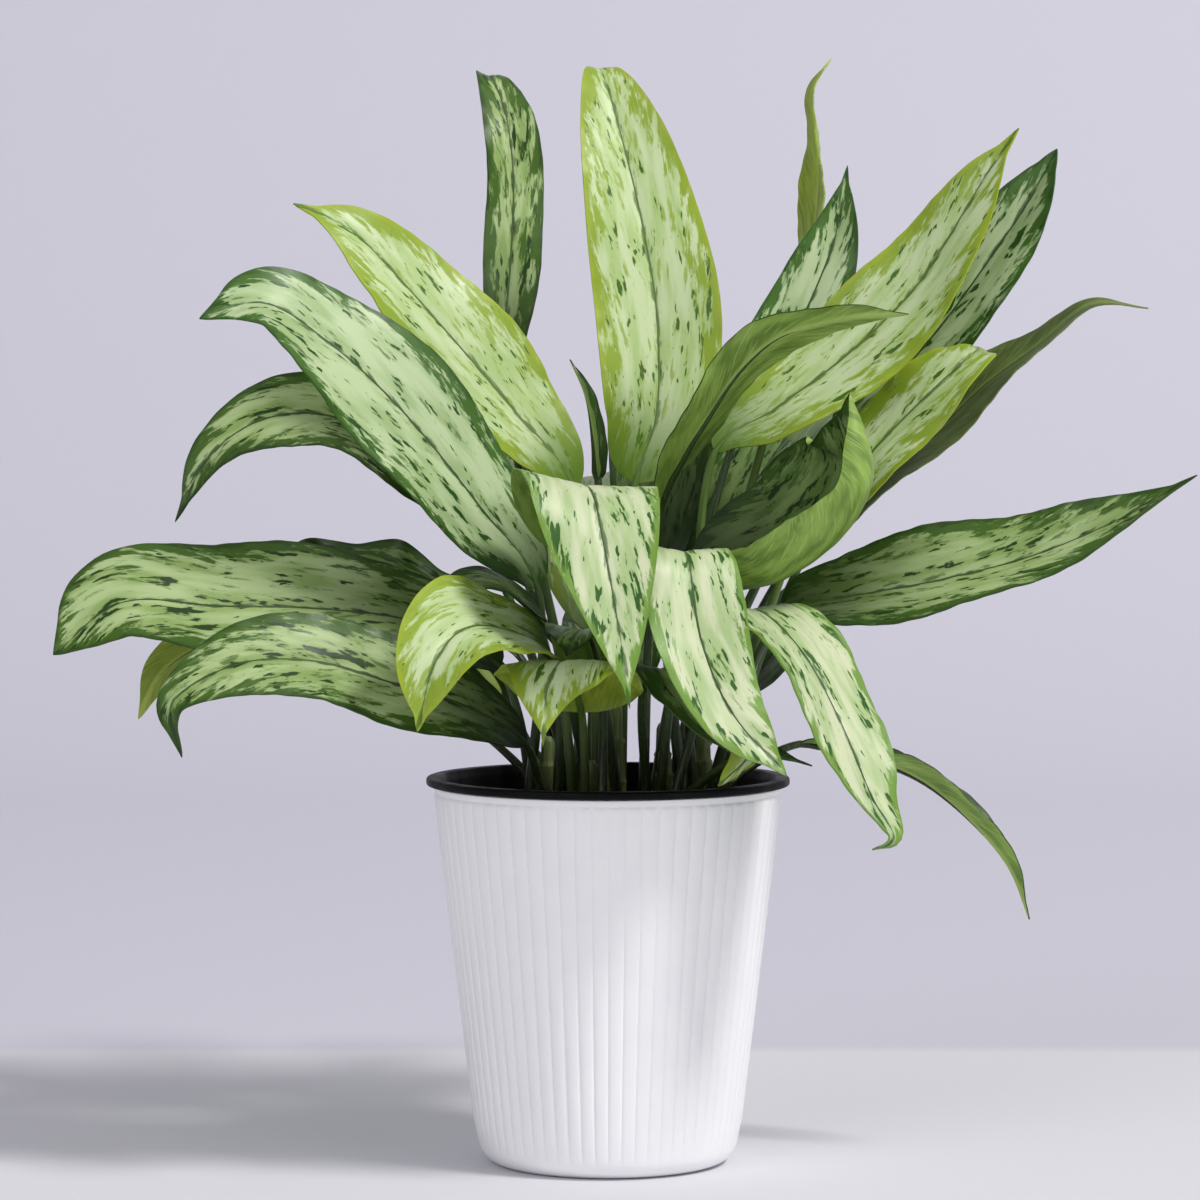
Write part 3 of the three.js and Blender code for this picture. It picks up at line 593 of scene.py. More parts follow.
LEAVES = [
    grown("left_long", ("a", 200), 185, 67, "silver",
         [(-35, -14, 288), (-63, -29, 329), (-102, -46, 378), (-136, -58, 410), (-167, -67, 429),
          (-197, -76, 421)], roll=(-60, -60, -40), fold=(8,), body=(0.6, 0.54)),
    grown("left_lime", ("c", 190), 185, 61, "lime",
         [(-17, 2, 337), (-49, -1, 379), (-84, -5, 420), (-111, -8, 450), (-130, -10, 468),
          (-156, -12, 479)], roll=(-60, -60, -50), fold=(8,), body=(0.66, 0.8)),
    grown("upright_left", ("f", 295), 110, 32, "deep",
         [(-51, 22, 382), (-52, 26, 414), (-49, 32, 455), (-48, 40, 496), (-52, 50, 527),
          (-60, 68, 547), (-65, 92, 545)], body=(0.6, 0.6)),
    grown("left_hooked", ("f", 245), 180, 46, "deep",
         [(-60, 18, 303), (-100, 15, 350), (-136, 12, 373), (-170, 8, 373), (-197, 2, 356),
          (-216, -3, 321)], roll=(-50, -50, -60), fold=(8,), body=(0.95, 0.9)),
    grown("left_broad", ("a", 150), 185, 66, "silver",
         [(-54, -8, 248), (-93, -18, 271), (-142, -32, 279), (-190, -45, 281), (-238, -55, 283),
          (-270, -62, 258)], roll=(-50, -55, -50), fold=(6,), curl=(10, 25), body=(0.55, 0.42)),
    grown("left_back", ("f", 200), 175, 54, "deep",
         [(-44, 30, 251), (-70, 38, 270), (-100, 44, 282), (-131, 48, 288), (-167, 50, 285),
          (-198, 52, 277)], roll=(-50,), fold=(8,), wave=5, waves=4, body=(1.1, 0.75)),
    grown("left_low", ("a", 250), 190, 53, "silver",
         [(-41, -26, 212), (-68, -45, 231), (-104, -62, 244), (-142, -78, 256), (-179, -92, 255),
          (-209, -100, 236), (-204, -100, 211)], roll=(-50, -55, -50), fold=(8,), body=(0.6, 0.8)),
    grown("left_under", ("a", 100), 180, 50, "deep",
         [(-54, 8, 231), (-104, 5, 252), (-154, 2, 262), (-194, -3, 262), (-221, -8, 247),
          (-234, -10, 223)], roll=(-35, -40, -45), fold=(8,), body=(0.55, 0.6)),
    grown("front_left", ("b", 200), 225, 62, "lime",
         [(-28, -52, 256), (-49, -79, 271), (-69, -107, 273), (-82, -126, 258), (-90, -136, 226)],
         roll=(-34, -34, -20), wave=1.5, body=(0.5, 0.8)),
    grown("front_left_inner", ("a", 300), 200, 31, "deep",
         [(-26, -26, 262), (-41, -35, 282), (-57, -41, 292), (-72, -46, 291), (-83, -50, 279)],
         roll=(-20,), fold=(8,), wave=0.5, body=(0.9, 0.75)),
    grown("front_small", ("b", 250), 255, 74, "lime",
         [(-13, -48, 229), (-19, -75, 252), (-24, -100, 256), (-29, -113, 245), (-31, -124, 218)],
         fold=(8,), curl=(-30, -30), body=(0.55, 1.2)),
    grown("front_shade", ("b", 300), 260, 42, "deep",
         [(-3, -34, 239), (-8, -46, 264), (-13, -60, 270), (-17, -74, 267), (-20, -86, 259)],
         fold=(8,)),
    grown("front_centre", ("c", 270), 270, 70, "silver",
         [(-11, -30, 303), (-13, -62, 338), (-7, -98, 336), (0, -120, 302), (6, -132, 267),
          (10, -141, 237)], roll=(-8, -8, 0), fold=(4,), body=(0.38, 0.95)),
    grown("front_right", ("d", 255), 285, 48, "silver",
         [(33, -57, 264), (35, -82, 306), (38, -104, 307), (44, -121, 268), (58, -128, 235),
          (84, -134, 205)], fold=(6,), body=(0.72, 0.65)),
    grown("front_under", ("d", 210), 300, 40, "deep",
         [(17, -52, 240), (26, -74, 252), (39, -92, 241), (56, -103, 222), (97, -112, 208)],
         fold=(6,), body=(0.55, 1)),
    grown("right_drooping", ("d", 300), 315, 56, "silver",
         [(55, -36, 257), (70, -64, 280), (91, -85, 264), (111, -102, 228), (125, -114, 194),
          (135, -120, 174), (125, -122, 169)], fold=(8,), body=(0.55, 0.68)),
    grown("upright_centre", ("c", 75), 95, 65, "lime",
         [(14, 17, 340), (24, 21, 372), (25, 30, 422), (17, 40, 473), (6, 52, 519), (-3, 68, 549),
          (-6, 92, 552)], body=(0.42, 0.68)),
    grown("new_spear", ("c", 125), 150, 12, "deep",
         [(-5, 14, 342), (-7, 14, 364), (-11, 13, 384), (-19, 12, 402)], fold=(50,), wave=0,
         body=(0.35, 0.7)),
    grown("right_arching", ("d", 30), 335, 35, "deep",
         [(26, -26, 329), (36, -36, 353), (47, -46, 371), (64, -56, 396), (82, -66, 412),
          (100, -74, 418), (120, -82, 422), (144, -86, 423)], roll=(0, -25, -45), fold=(8,),
         wave=1.5, body=(0.55, 0.75)),
    grown("upright_right", ("g", 245), 60, 44, "silver",
         [(64, 24, 362), (86, 30, 399), (104, 38, 435), (115, 44, 463), (119, 48, 481),
          (122, 51, 501)], roll=(20, 20, 10), body=(0.55, 0.85)),
    grown("upright_thin", ("g", 62), 60, 35, "lime",
         [(88, 52, 392), (101, 60, 443), (108, 68, 485), (108, 72, 516), (105, 74, 540),
          (115, 76, 557)], roll=(-42, -45, -45), fold=(14,), body=(0.55, 0.7)),
    grown("right_lime", ("e", 90), 355, 57, "lime",
         [(54, 8, 356), (83, 4, 377), (120, 0, 405), (153, -5, 438), (174, -10, 471),
          (189, -13, 496), (203, -16, 516)], roll=(60, 60, 50), fold=(8,), body=(0.7, 0.78)),
    grown("right_silver", ("g", 290), 10, 44, "silver",
         [(115, 32, 362), (142, 32, 389), (169, 30, 420), (194, 28, 455), (212, 26, 482),
          (226, 24, 508)], roll=(55, 55, 45), fold=(8,), body=(0.55, 0.5)),
    grown("right_short", ("e", 335), 5, 41, "lime",
         [(95, 8, 312), (119, 4, 342), (143, 0, 368), (165, -4, 390), (181, 0, 404),
          (187, 20, 408)], roll=(55, 55, 40), fold=(8,), body=(0.55, 0.5)),
    grown("right_thread", ("g", 335), 0, 46, "deep",
         [(93, 42, 300), (128, 42, 336), (163, 40, 362), (191, 38, 389), (219, 36, 410),
          (245, 34, 430), (273, 30, 428)], roll=(40, 35, 20), fold=(14,), body=(0.5, 1)),
    grown("right_cupped", ("e", 235), 345, 114, "deep",
         [(46, -24, 283), (88, -40, 302), (115, -54, 324), (125, -66, 346), (122, -74, 367),
          (116, -80, 385)], roll=(50,), fold=(5,), curl=(10, 125), wave=1, body=(0.5, 0.66)),
    grown("right_long", ("e", 288), 350, 60, "silver",
         [(87, -27, 276), (118, -38, 285), (157, -52, 293), (204, -68, 306), (241, -80, 322),
          (264, -87, 335), (282, -92, 346)], roll=(45, 45, 40), fold=(16,), body=(0.5, 0.9)),
    grown("right_trailing", ("e", 22), 0, 26, "deep",
         [(97, 22, 208), (132, 18, 201), (157, 12, 191), (182, 6, 171), (201, 0, 148),
          (211, -4, 122)], fold=(20, 42, 40), wave=1, body=(0.5, 0.7)),
    grown("rim_small", ("d", 345), 330, 20, "lime",
         [(70, -52, 210), (63, -64, 203), (53, -74, 195)], fold=(10,), curl=(-60, -60), wave=0.4),
    grown("back_centre_high", ("g", 175), 88, 58, "silver",
         [(22, 58, 285), (28, 88, 356), (32, 132, 418), (33, 180, 438), (33, 222, 418)]),
    grown("back_centre_mid", ("f", 60), 98, 60, "lime",
         [(-8, 66, 262), (-16, 105, 318), (-22, 155, 338), (-28, 205, 316), (-30, 232, 282)]),
    grown("back_centre_low", ("f", 10), 88, 58, "silver",
         [(2, 62, 222), (4, 100, 258), (6, 150, 262), (6, 195, 228)]),
    grown("back_left_high", ("f", 108), 128, 58, "silver",
         [(-42, 62, 290), (-72, 98, 352), (-98, 140, 376), (-116, 180, 366), (-124, 205, 340)]),
    grown("back_left_low", ("f", 155), 138, 60, "deep",
         [(-52, 66, 215), (-102, 108, 262), (-150, 146, 262), (-186, 176, 232)]),
    grown("back_right_high", ("g", 112), 55, 68, "silver",
         [(46, 62, 284), (82, 102, 346), (114, 148, 380), (142, 192, 378), (156, 216, 358)]),
    grown("back_right_low", ("g", 18), 42, 58, "deep",
         [(66, 66, 225), (108, 106, 272), (146, 142, 288), (178, 170, 280)]),
    grown("back_left_side", (-37, 35), 158, 50, "silver",
         [(-60, 50, 208), (-108, 74, 234), (-160, 92, 242), (-204, 104, 236)]),
    grown("back_right_side", (56, 34), 38, 48, "silver",
         [(98, 60, 296), (132, 82, 342), (162, 108, 374), (190, 134, 386)]),
]
print(len(LEAVES), "leaves")

# %% [markdown]
# ## How a leaf runs through space
# A stalk leaves the soil straight up, bends over, and goes on as the midrib. A centripetal
# Catmull-Rom curve passes through all the listed points without loops. Blender's own curve types
# pass beside their points or need handles, so the curve is worked out here.

# %% Leaf line
PER_SPAN = 16
ROUTE_HEIGHTS = (-14, 2, 14)
STALK_GAP = 0.8
STALK_RADIUS = 3
DIRECTION_STEP = 0.02


def smooth_line(points, per_span):
    """Points along the centripetal Catmull-Rom curve through the given points."""
    points = [np.array(point, float) for point in points]
    points = [2 * points[0] - points[1], *points, 2 * points[-1] - points[-2]]
    line = []
    for a, b, c, d in zip(points, points[1:], points[2:], points[3:]):
        knots = np.cumsum([0, *(np.linalg.norm(q - p) ** 0.5 for p, q in ((a, b), (b, c), (c, d)))])
        for t in np.linspace(knots[1], knots[2], per_span, endpoint=False):
            ab = a + (b - a) * (t - knots[0]) / (knots[1] - knots[0])
            bc = b + (c - b) * (t - knots[1]) / (knots[2] - knots[1])
            cd = c + (d - c) * (t - knots[2]) / (knots[3] - knots[2])
            abc = ab + (bc - ab) * (t - knots[0]) / (knots[2] - knots[0])
            bcd = bc + (cd - bc) * (t - knots[1]) / (knots[3] - knots[1])
            line.append(abc + (bcd - abc) * (t - knots[1]) / (knots[2] - knots[1]))
    return np.array([*line, points[-2]])


class Line:
    """A line through many points, asked for by the share of its length."""

    def __init__(self, points):
        self.points = points
        self.reached = np.r_[0, np.cumsum(np.linalg.norm(np.diff(points, axis=0), axis=1))]
        self.length = self.reached[-1]

    def point(self, share):
        where = np.clip(share, 0, 1) * self.length
        return np.stack([np.interp(where, self.reached, self.points[:, k]) for k in range(3)], -1)

    def direction(self, share):
        step = self.point(share + DIRECTION_STEP) - self.point(share - DIRECTION_STEP)
        return step / np.linalg.norm(step, axis=-1, keepdims=True)


def stalk_place(start):
    """Where a stalk stands, from its cane and direction or from its own place."""
    if start[0] not in CANES:
        return start
    x, y, _ = CANES[start[0]]
    reach = CANE_RADIUS / MM + STALK_RADIUS + STALK_GAP
    around = math.radians(start[1])
    return x + reach * math.cos(around), y + reach * math.sin(around)


def leaf_lines(leaf):
    """The stalk's line and the blade's line of a leaf."""
    x, y = stalk_place(leaf["start"])
    start = [(x, y, SOIL_TOP / MM + height) for height in ROUTE_HEIGHTS]
    line = smooth_line([*start, *leaf["midrib"]], PER_SPAN)
    split = PER_SPAN * len(start)
    return Line(line[:split + 1]), Line(line[split:])


def changing(values, share):
    """A value that changes evenly through a list from base to tip."""
    return np.interp(share, np.linspace(0, 1, len(values)), values)


def frame_along(line, share, heading, roll):
    """The blade's sideways and upward directions at shares of its line."""
    heading = math.radians(heading)
    ahead = line.direction(share)
    up = np.cross(ahead, [-math.sin(heading), math.cos(heading), 0])
    up /= np.linalg.norm(up, axis=-1, keepdims=True)
    side = np.cross(up, ahead)
    turn = np.radians(roll)[:, None]
    turned = [v * np.cos(turn) + np.cross(ahead, v) * np.sin(turn) for v in (side, up)]
    return turned[0], turned[1]


print("longest blade", round(max(leaf_lines(leaf)[1].length for leaf in LEAVES)), "mm")

# %% [markdown]
# ## The blade's surface
# A blade is widest below its middle and is drawn in at both ends, to its stalk and to a point. Each
# half rises from the midrib and bends, and its edge waves up and down. One formula gives the point
# at any share of the length and any reach across. On top of the solid's form the fine blade has a
# groove along its midrib, a low quilting between its side veins, and a small ripple at the very
# edge.

# %% Blade surface
USUAL_FOLD = (12,)
USUAL_BODY = (0.55, 0.75)
TIP_TAIL = 0.04
NECK_HALF_WIDTH = 1.2
BASE_SHARE = 0.04
BASE_FULLNESS = 0.6
TIP_SHARE = 0.94
TIP_FULLNESS = 0.85
FLAT_BEND = 1e-3
WAVE_HEIGHT = 2.2
WAVE_COUNT = 2.5
WAVE_LAG = 2.1
WAVE_STEP_PER_LEAF = 1.7
VEIN_SPACING = 6.5
VEIN_SLANT = math.radians(23)
QUILT_HEIGHT = 0.16
RIPPLE_HEIGHT = 0.45
RIPPLE_LENGTH = 17
RIPPLE_BEAT = 3.3 * RIPPLE_LENGTH
GROOVE_DEPTH = 0.5
GROOVE_WIDTH = 1.8
HALVES_APART = 0.35
LEAVES_APART = 61.0


def outline(share, body):
    """The half width at a share of the length, as a share of the widest."""
    base, tip = body
    u = np.clip(share / (1 - TIP_TAIL), 0, 1)
    widest = base / (base + tip)
    return (u / widest) ** base * ((1 - u) / (1 - widest)) ** tip


def half_width(leaf, share):
    """The half width in millimetres, drawn in at the stalk and again at the tip."""
    within = np.clip(share, BASE_SHARE, TIP_SHARE)
    neck = NECK_HALF_WIDTH * (1 - share)
    full = np.hypot(leaf["width"] / 2 * outline(within, leaf.get("body", USUAL_BODY)), neck)
    from_base = np.clip(share / BASE_SHARE, 0, 1) ** BASE_FULLNESS
    from_tip = np.clip((1 - share) / (1 - TIP_SHARE), 0, 1) ** TIP_FULLNESS
    return neck + (full - neck) * from_base * from_tip


def blade_surface(leaf, order, line, across, share):
    """Points of the blade in millimetres, and what its finish needs to know at each of them."""
    side, up = frame_along(line, share, leaf["heading"], changing(leaf.get("roll", (0,)), share))
    spread = outline(share, leaf.get("body", USUAL_BODY))
    half = half_width(leaf, share)
    fold = np.radians(changing(leaf.get("fold", USUAL_FOLD), share))
    left, right = leaf.get("curl", (0, 0))
    bend = np.radians(np.where(across > 0, left, right))
    bend = np.where(bend == 0, FLAT_BEND, bend)
    reach = np.abs(across)
    slope = fold + bend * reach
    out = (np.sin(slope) - np.sin(fold)) / bend
    rise = half * (np.cos(fold) - np.cos(slope)) / bend
    lag = np.where(across > 0, WAVE_LAG, 0)
    phase = WAVE_STEP_PER_LEAF * order
    turn = 2 * math.pi * leaf.get("waves", WAVE_COUNT) * share + phase + lag
    small = np.minimum(1, 1.3 * spread)
    rise += leaf.get("wave", WAVE_HEIGHT) * reach ** 2 * np.sin(turn) * small

    along = share * line.length
    from_rib = reach * half
    cross_vein = along * math.sin(VEIN_SLANT) - from_rib * math.cos(VEIN_SLANT)
    along_vein = along * math.cos(VEIN_SLANT) + from_rib * math.sin(VEIN_SLANT)
    quilt = 4 * reach * (1 - reach) * np.cos(2 * math.pi * cross_vein / VEIN_SPACING)
    ripple = reach ** 6 * np.sin(2 * math.pi * along / RIPPLE_LENGTH + 3 * phase + 2 * lag)
    ripple *= np.sin(2 * math.pi * along / RIPPLE_BEAT + phase)
    groove = np.exp(-(from_rib / GROOVE_WIDTH) ** 2)
    rise += (QUILT_HEIGHT * quilt + RIPPLE_HEIGHT * ripple - GROOVE_DEPTH * groove) * small

    sign = np.sign(across)
    points = line.point(share) + side * (half * out * sign)[:, None] + up * rise[:, None]
    apart = HALVES_APART * sign * from_rib + LEAVES_APART * order
    vein = np.stack([cross_vein, along_vein, apart], -1)
    edge = np.stack([half - from_rib, share, from_rib], -1)
    return points, vein, edge


print("vein spacing", VEIN_SPACING, "mm")

# %% [markdown]
# ## Leaf finishes
# The face of a silver queen leaf is silver-green. Dark green dashes lie along its side veins, and a
# green band of uneven width follows its edge. The young leaves in front are creamy, others have lime
# edges, and old leaves are olive or deep green. Leaves that sit in the shade get the olive or deep
# finish too, and every face turns darker near its stalk: both are painted shade, on top of the
# leaves' own green. All of it follows the veins, so the pattern doesn't use the object's place. It
# uses two attributes that each blade carries: `vein`, the place across and along the veins, and
# `edge`, the distance from the margin, the share of the length and the distance from the midrib,
# with lengths in millimetres. Noise drawn out along the veins gives the dashes, and larger noise the
# patches. Both crowd together near the margin, and more in some places of the blade than in others,
# as on real leaves.

# %% Leaf face
FLECKS = {"scale": (0.23, 0.065, 1), "offset": (31, 7, 3), "detail": 2, "roughness": 0.5}
BLOTS = {"scale": (0.13, 0.035, 0.6), "offset": (3, 17, 8), "detail": 3, "roughness": 0.55}
CLOUDS = {"scale": (0.05, 0.02, 0.4), "offset": (5, 9, 1), "detail": 2, "roughness": 0.5}
STREAKS = {"scale": (0.18, 0.016, 0.7), "offset": (21, 4, 9), "detail": 4, "roughness": 0.6}
FEATHERS = {"scale": (0.14, 0.022, 0.7), "offset": (11, 2, 5), "detail": 5, "roughness": 0.62}
GRAIN = {"scale": (2.4, 0.25, 4), "offset": (0, 0, 0), "detail": 3, "roughness": 0.5}
DASH_LIMITS = (0.63, 0.66)
PATCH_LIMITS = (0.61, 0.645)
HALO_LIMITS = (0.57, 0.64)
STREAK_LIMITS = (0.60, 0.70)
CLOUD_CROWDING = (-0.08, 0.045)
EDGE_CROWDING = (0.065, -0.005)
LIVING_LEAF = {"Subsurface_Weight": 0.12, "Subsurface_Scale": 0.0015,
               "Subsurface_Radius": (0.6, 1.0, 0.25)}


def vein_noise(net, vein, kind):
    """Noise that is drawn out along the side veins."""
    place = net.scaled(vein, kind["scale"], kind["offset"])
    return net.noise(place, 1, kind["detail"], kind["roughness"])


def leaf_face(name, silver, silver_shade, dash, margin, margin_edge, base, dashes_more=0.0,
              streaks_more=0.0, band=4.6, base_shade_reach=0.24):
    """The upper side. `band` is the usual width of its margin. `base` is the dark green near the
    stalk: the leaf's own darker base with painted shade of the crown on it.
    """
    net = Network(name)
    vein = net.attribute("vein")
    margin_gap, share, from_rib = net.parts(net.attribute("edge"))
    flecks = vein_noise(net, vein, FLECKS)
    blots = vein_noise(net, vein, BLOTS)
    clouds = vein_noise(net, vein, CLOUDS)
    streaks = vein_noise(net, vein, STREAKS)
    feathers = vein_noise(net, vein, FEATHERS)

    def past(value, limits, more, most=1.0):
        """How far a value is past its limits, which are lowered where there is more of it."""
        return net.steps(value, limits[0] - more, limits[1] - more, 0, most)

    tone = net.mix(net.steps(clouds, 0.35, 0.65), silver, silver_shade)
    near_edge = net.steps(margin_gap, 1.0, 10.0, *EDGE_CROWDING)
    crowd = net.math("ADD", net.steps(clouds, 0.36, 0.64, *CLOUD_CROWDING), near_edge)
    streaked = past(net.math("ADD", streaks, near_edge), STREAK_LIMITS, streaks_more, 0.8)
    tone = net.mix(streaked, tone, margin)
    dashes = past(net.math("ADD", flecks, crowd), DASH_LIMITS, dashes_more)
    patches = past(net.math("ADD", blots, crowd), PATCH_LIMITS, dashes_more)
    halo = past(net.math("ADD", blots, crowd), HALO_LIMITS, dashes_more, 0.55)
    tone = net.mix(halo, tone, margin)
    tone = net.mix(net.math("MAXIMUM", dashes, patches), tone, dash)

    ragged = net.math("ADD", margin_gap, net.steps(feathers, 0.3, 0.7, -1.6 * band, 1.4 * band))
    tone = net.mix(net.steps(ragged, 0.4 * band, 1.4 * band, 1, 0), tone, margin)
    uneven = net.math("ADD", margin_gap, net.steps(blots, 0.3, 0.7, 1.5, -1.5))
    tone = net.mix(net.steps(uneven, 0.2, 2.8, 0.8, 0), tone, margin_edge)
    rib = net.math("ADD", from_rib, net.steps(flecks, 0.3, 0.7, 1.2, -1.0))
    tone = net.mix(net.steps(rib, 0.3, 1.6, 0.8, 0), tone, dash)
    # Painted shade: the face turns to the dark base green near its stalk, partly the leaf's own darker
    # base and partly the shade in the middle of the crown.
    tone = net.mix(net.steps(share, 0.0, base_shade_reach, 0.9, 0), tone, base)

    grain = vein_noise(net, vein, GRAIN)
    net.bump(grain, 0.00025, 0.35)
    gloss = net.steps(grain, 0.3, 0.7, 0.34, 0.46)
    return net.finish(Base_Color=tone, Roughness=gloss, Specular_IOR_Level=0.28, Coat_Weight=0.05,
                      Coat_Roughness=0.3, **LIVING_LEAF)


# %% Leaf back and stalk
def leaf_back(name, green, pale, shade):
    """The underside: plain green, with a paler midrib and faint side veins, and darker near its base
    as painted shade.
    """
    net = Network(name)
    vein = net.attribute("vein")
    _, share, from_rib = net.parts(net.attribute("edge"))
    clouds = net.noise(net.scaled(vein, (0.10, 0.03, 0.4), (2, 5, 1)), 1, 2)
    lines = net.noise(net.scaled(vein, (1.1, 0.03, 0.5), (9, 2, 1)), 1, 2)
    tone = net.mix(net.steps(clouds, 0.3, 0.7), green, shade)
    tone = net.mix(net.steps(lines, 0.5, 0.68, 0, 0.45), tone, pale)
    tone = net.mix(net.steps(from_rib, 0.8, 3.0, 0.6, 0), tone, pale)
    # Painted shade: the underside darkens towards its stalk, where the crown shades it.
    tone = net.mix(net.steps(share, 0.0, 0.25, 0.5, 0), tone, shade)
    net.bump(net.noise(net.scaled(vein, (1.6, 0.2, 4)), 1, 3), 0.0003, 0.4)
    return net.finish(Base_Color=tone, Roughness=0.5, Specular_IOR_Level=0.4, **LIVING_LEAF)


def stalk_skin(name, low, high):
    """A stalk: streaked along its length, browner near the soil, and darker there as painted shade
    under the crown.
    """
    net = Network(name)
    height = net.parts(net.place())[2]
    fibre = net.noise(net.scaled(net.place(), (700, 700, 45)), 1, 3)
    # Painted shade: the low colour is dark for the shade among the stalks under the crown, as well as
    # their browner base.
    tone = net.mix(net.steps(height, 0.17, 0.26), low, high)
    tone = net.mix(net.steps(fibre, 0.45, 0.8, 0, 0.35), tone, colour(92, 118, 54))
    net.bump(fibre, 0.0003, 0.4)
    return net.finish(Base_Color=tone, Roughness=0.42, Specular_IOR_Level=0.45)


# %% [markdown]
# ## The looks of the leaves
# A look is a face, an underside and a stalk. A few leaves differ from their kind in the table, so
# they are listed with a look of their own. The olive and deep looks given here to leaves in the
# shade are partly their own darker green and partly painted shade. Some turn their underside up, and
# their two faces change places.

# %% Looks
LOOKS = {
    "silver": [
        leaf_face("silver leaf face", colour(188, 206, 160), colour(158, 182, 126), colour(38, 76, 20),
                  colour(68, 106, 38), colour(46, 80, 24), colour(38, 68, 18), -0.005),
        leaf_back("silver leaf back", colour(138, 168, 80), colour(176, 198, 116),
                  colour(102, 130, 50)),
        stalk_skin("silver leaf stalk", colour(30, 34, 16), colour(52, 76, 28)),
    ],
    "lime": [
        leaf_face("lime leaf face", colour(200, 216, 168), colour(174, 198, 130), colour(66, 102, 28),
                  colour(142, 166, 50), colour(156, 174, 46), colour(84, 118, 28), -0.03, 0.055, 6.5),
        leaf_back("lime leaf back", colour(148, 170, 54), colour(184, 200, 96), colour(118, 140, 34)),
        stalk_skin("lime leaf stalk", colour(36, 42, 18), colour(84, 112, 40)),
    ],
    "deep": [
        leaf_face("deep leaf face", colour(128, 150, 92), colour(94, 122, 60), colour(24, 48, 14),
                  colour(58, 90, 28), colour(36, 60, 16), colour(20, 40, 8), 0.01, 0.05, 6.0, 0.45),
        leaf_back("deep leaf back", colour(140, 172, 78), colour(174, 198, 108), colour(96, 126, 44)),
        stalk_skin("deep leaf stalk", colour(26, 30, 14), colour(44, 66, 24)),
    ],
}
LOOKS["cream"] = [
    leaf_face("cream leaf face", colour(206, 214, 176), colour(170, 192, 136), colour(50, 92, 30),
              colour(118, 154, 70), colour(110, 146, 54), colour(58, 96, 30), -0.015, 0.0, 2.6),
    *LOOKS["silver"][1:],
]
LOOKS["olive"] = [
    leaf_face("olive leaf face", colour(172, 192, 136), colour(136, 162, 92), colour(32, 60, 16),
              colour(66, 98, 30), colour(42, 70, 18), colour(28, 50, 12), 0.0, 0.03, 6.0, 0.5),
    leaf_back("olive leaf back", colour(100, 118, 60), colour(130, 146, 84), colour(72, 88, 38)),
    LOOKS["silver"][2],
]
for look in ("lime", "olive"):
    face, back, stalk = LOOKS[look]
    LOOKS[look + " turned over"] = [back, face, stalk]
# Painted shade: olive and deep go to leaves that sit in the shade, and the darker olive back is
# painted shade on the thread leaf's upturned underside.
SPECIAL_LOOKS = {
    "leaf_front_centre": "cream", "leaf_front_right": "cream", "leaf_right_drooping": "cream",
    "leaf_upright_left": "olive", "leaf_left_broad": "olive", "leaf_left_low": "olive",
    "leaf_left_hooked": "olive", "leaf_right_long": "olive", "leaf_left_under": "lime turned over",
    "leaf_upright_thin": "lime turned over", "leaf_right_thread": "olive turned over",
    "leaf_back_centre_high": "deep", "leaf_back_right_high": "deep",
}
print(len(LOOKS), "looks of three materials each")

# %% [markdown]
# ## Making a leaf
# The blade starts as a flat grid, whose own places say how far across and along each point is. Its
# columns are crowded towards the midrib, where the groove needs them. The formula lifts each point
# into its real place. Solidify gives the blade its thickness and puts the underside's finish on its
# lower face, so the finishes are on the blade before it. The stalk and the midrib are one tapered
# tube: a path with a round bevel, whose points have their own radius. The two are joined, because
# they grow as one.

# %% Leaf maker
BLADE_COLUMNS = 24
BLADE_ROWS = 92
CROWDING = 1.35
BLADE_THICKNESS = 0.8 * MM
NECK_RADIUS = 1.9
RIB_TIP_RADIUS = 0.3
RIB_END = 0.94
RIB_TAPER = 1.6
RIB_SHOWN = 0.25
RIB_SINKS_BY = 0.06
TUBE_STEPS = 30
MERGE_DISTANCE = 0.02 * MM
LEAF_SMOOTH_ANGLE = 45
STALK_SLOT = 2


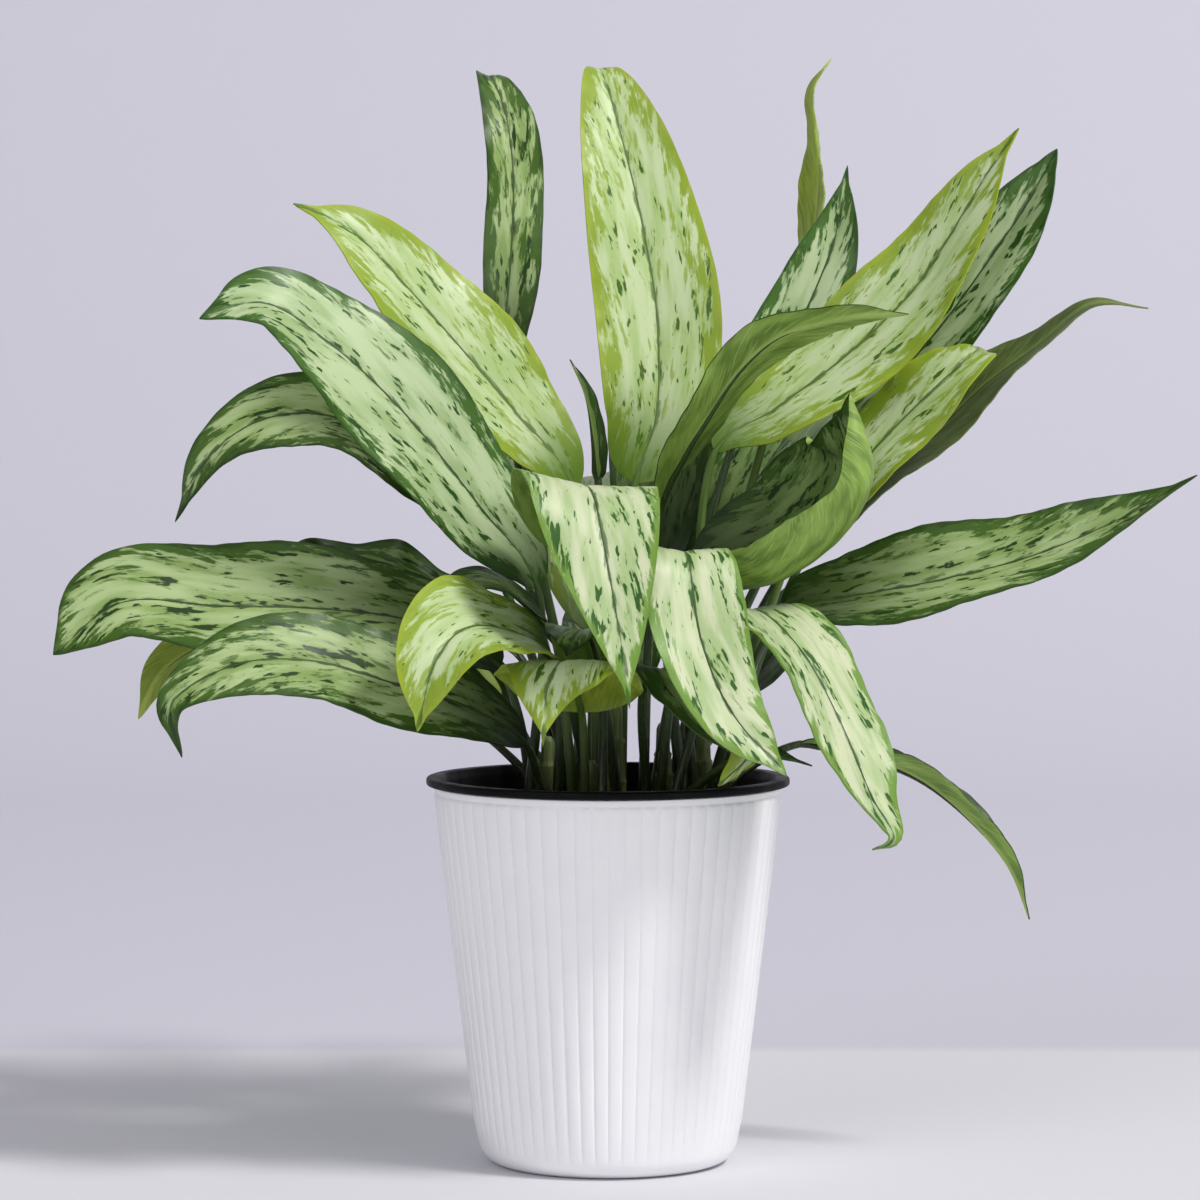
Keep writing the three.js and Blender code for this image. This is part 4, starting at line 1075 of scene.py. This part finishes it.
def blade_mesh(leaf, order, line):
    bpy.ops.object.select_all(action="DESELECT")
    bpy.ops.mesh.primitive_grid_add(x_subdivisions=BLADE_COLUMNS, y_subdivisions=BLADE_ROWS, size=2)
    obj = named(leaf["name"].replace("leaf_", "blade_"))
    for material in LOOKS[SPECIAL_LOOKS.get(leaf["name"], leaf["look"])]:
        obj.data.materials.append(material)
    flat = np.array([vertex.co for vertex in obj.data.vertices])
    across = -flat[:, 0].clip(-1, 1)
    across[np.abs(across) < 1e-6] = 0
    across = np.sign(across) * np.abs(across) ** CROWDING
    share = (flat[:, 1].clip(-1, 1) + 1) / 2
    points, vein, edge = blade_surface(leaf, order, line, across, share)
    obj.data.vertices.foreach_set("co", (points * MM).ravel())
    for name, values in (("vein", vein), ("edge", edge)):
        attribute = obj.data.attributes.new(name, "FLOAT_VECTOR", "POINT")
        attribute.data.foreach_set("vector", values.astype(np.float32).ravel())
    bpy.ops.object.mode_set(mode="EDIT")
    bpy.ops.mesh.select_all(action="SELECT")
    bpy.ops.mesh.remove_doubles(threshold=MERGE_DISTANCE)
    bpy.ops.object.mode_set(mode="OBJECT")
    shell = obj.modifiers.new("thickness", "SOLIDIFY")
    shell.thickness = BLADE_THICKNESS
    shell.offset = 0
    shell.material_offset = 1
    bpy.ops.object.modifier_apply(modifier="thickness")
    return obj


def tube_mesh(leaf, stalk, blade):
    """The stalk from its foot to the blade, going on under the blade as its midrib."""
    stalk_share = np.linspace(0, 1, TUBE_STEPS)
    blade_share = np.linspace(0, RIB_END, TUBE_STEPS + 1)[1:]
    roll = changing(leaf.get("roll", (0,)), blade_share)
    _, up = frame_along(blade, blade_share, leaf["heading"], roll)
    stalk_radius = STALK_RADIUS + (NECK_RADIUS - STALK_RADIUS) * stalk_share
    rib_radius = RIB_TIP_RADIUS + (NECK_RADIUS - RIB_TIP_RADIUS) * (1 - blade_share) ** RIB_TAPER
    sunk = (rib_radius - RIB_SHOWN) * np.clip(blade_share / RIB_SINKS_BY, 0, 1)
    rib_centres = blade.point(blade_share) - up * sunk[:, None]
    centres = np.concatenate([stalk.point(stalk_share), rib_centres])
    radii = np.concatenate([stalk_radius, rib_radius])

    bpy.ops.object.select_all(action="DESELECT")
    bpy.ops.curve.primitive_nurbs_path_add()
    path = named(leaf["name"].replace("leaf_", "stalk_"))
    spline = path.data.splines[0]
    spline.type = "POLY"
    spline.points.add(len(centres) - len(spline.points))
    for point, centre, radius in zip(spline.points, centres * MM, radii):
        point.co = (*centre, 1)
        point.radius = radius
    path.data.bevel_depth = MM
    path.data.bevel_resolution = 2
    path.data.use_fill_caps = True
    path.data.twist_mode = "MINIMUM"
    bpy.ops.object.convert(target="MESH")
    return bpy.context.object


# %% Leaves
leaf_faces = 0
for order, leaf in enumerate(LEAVES):
    stalk, blade = leaf_lines(leaf)
    tube = tube_mesh(leaf, stalk, blade)
    piece = blade_mesh(leaf, order, blade)
    tube.data.materials.clear()
    choose(piece)
    tube.data.materials.append(piece.data.materials[STALK_SLOT])
    tube.select_set(True)
    bpy.ops.object.join()
    smooth(LEAF_SMOOTH_ANGLE)
    bpy.ops.object.transform_apply(location=True, rotation=True, scale=True)
    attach(piece, "root")
    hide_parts(leaf["name"])
    leaf_faces += len(piece.data.polygons)
print(len(LEAVES), "leaves,", leaf_faces, "faces")
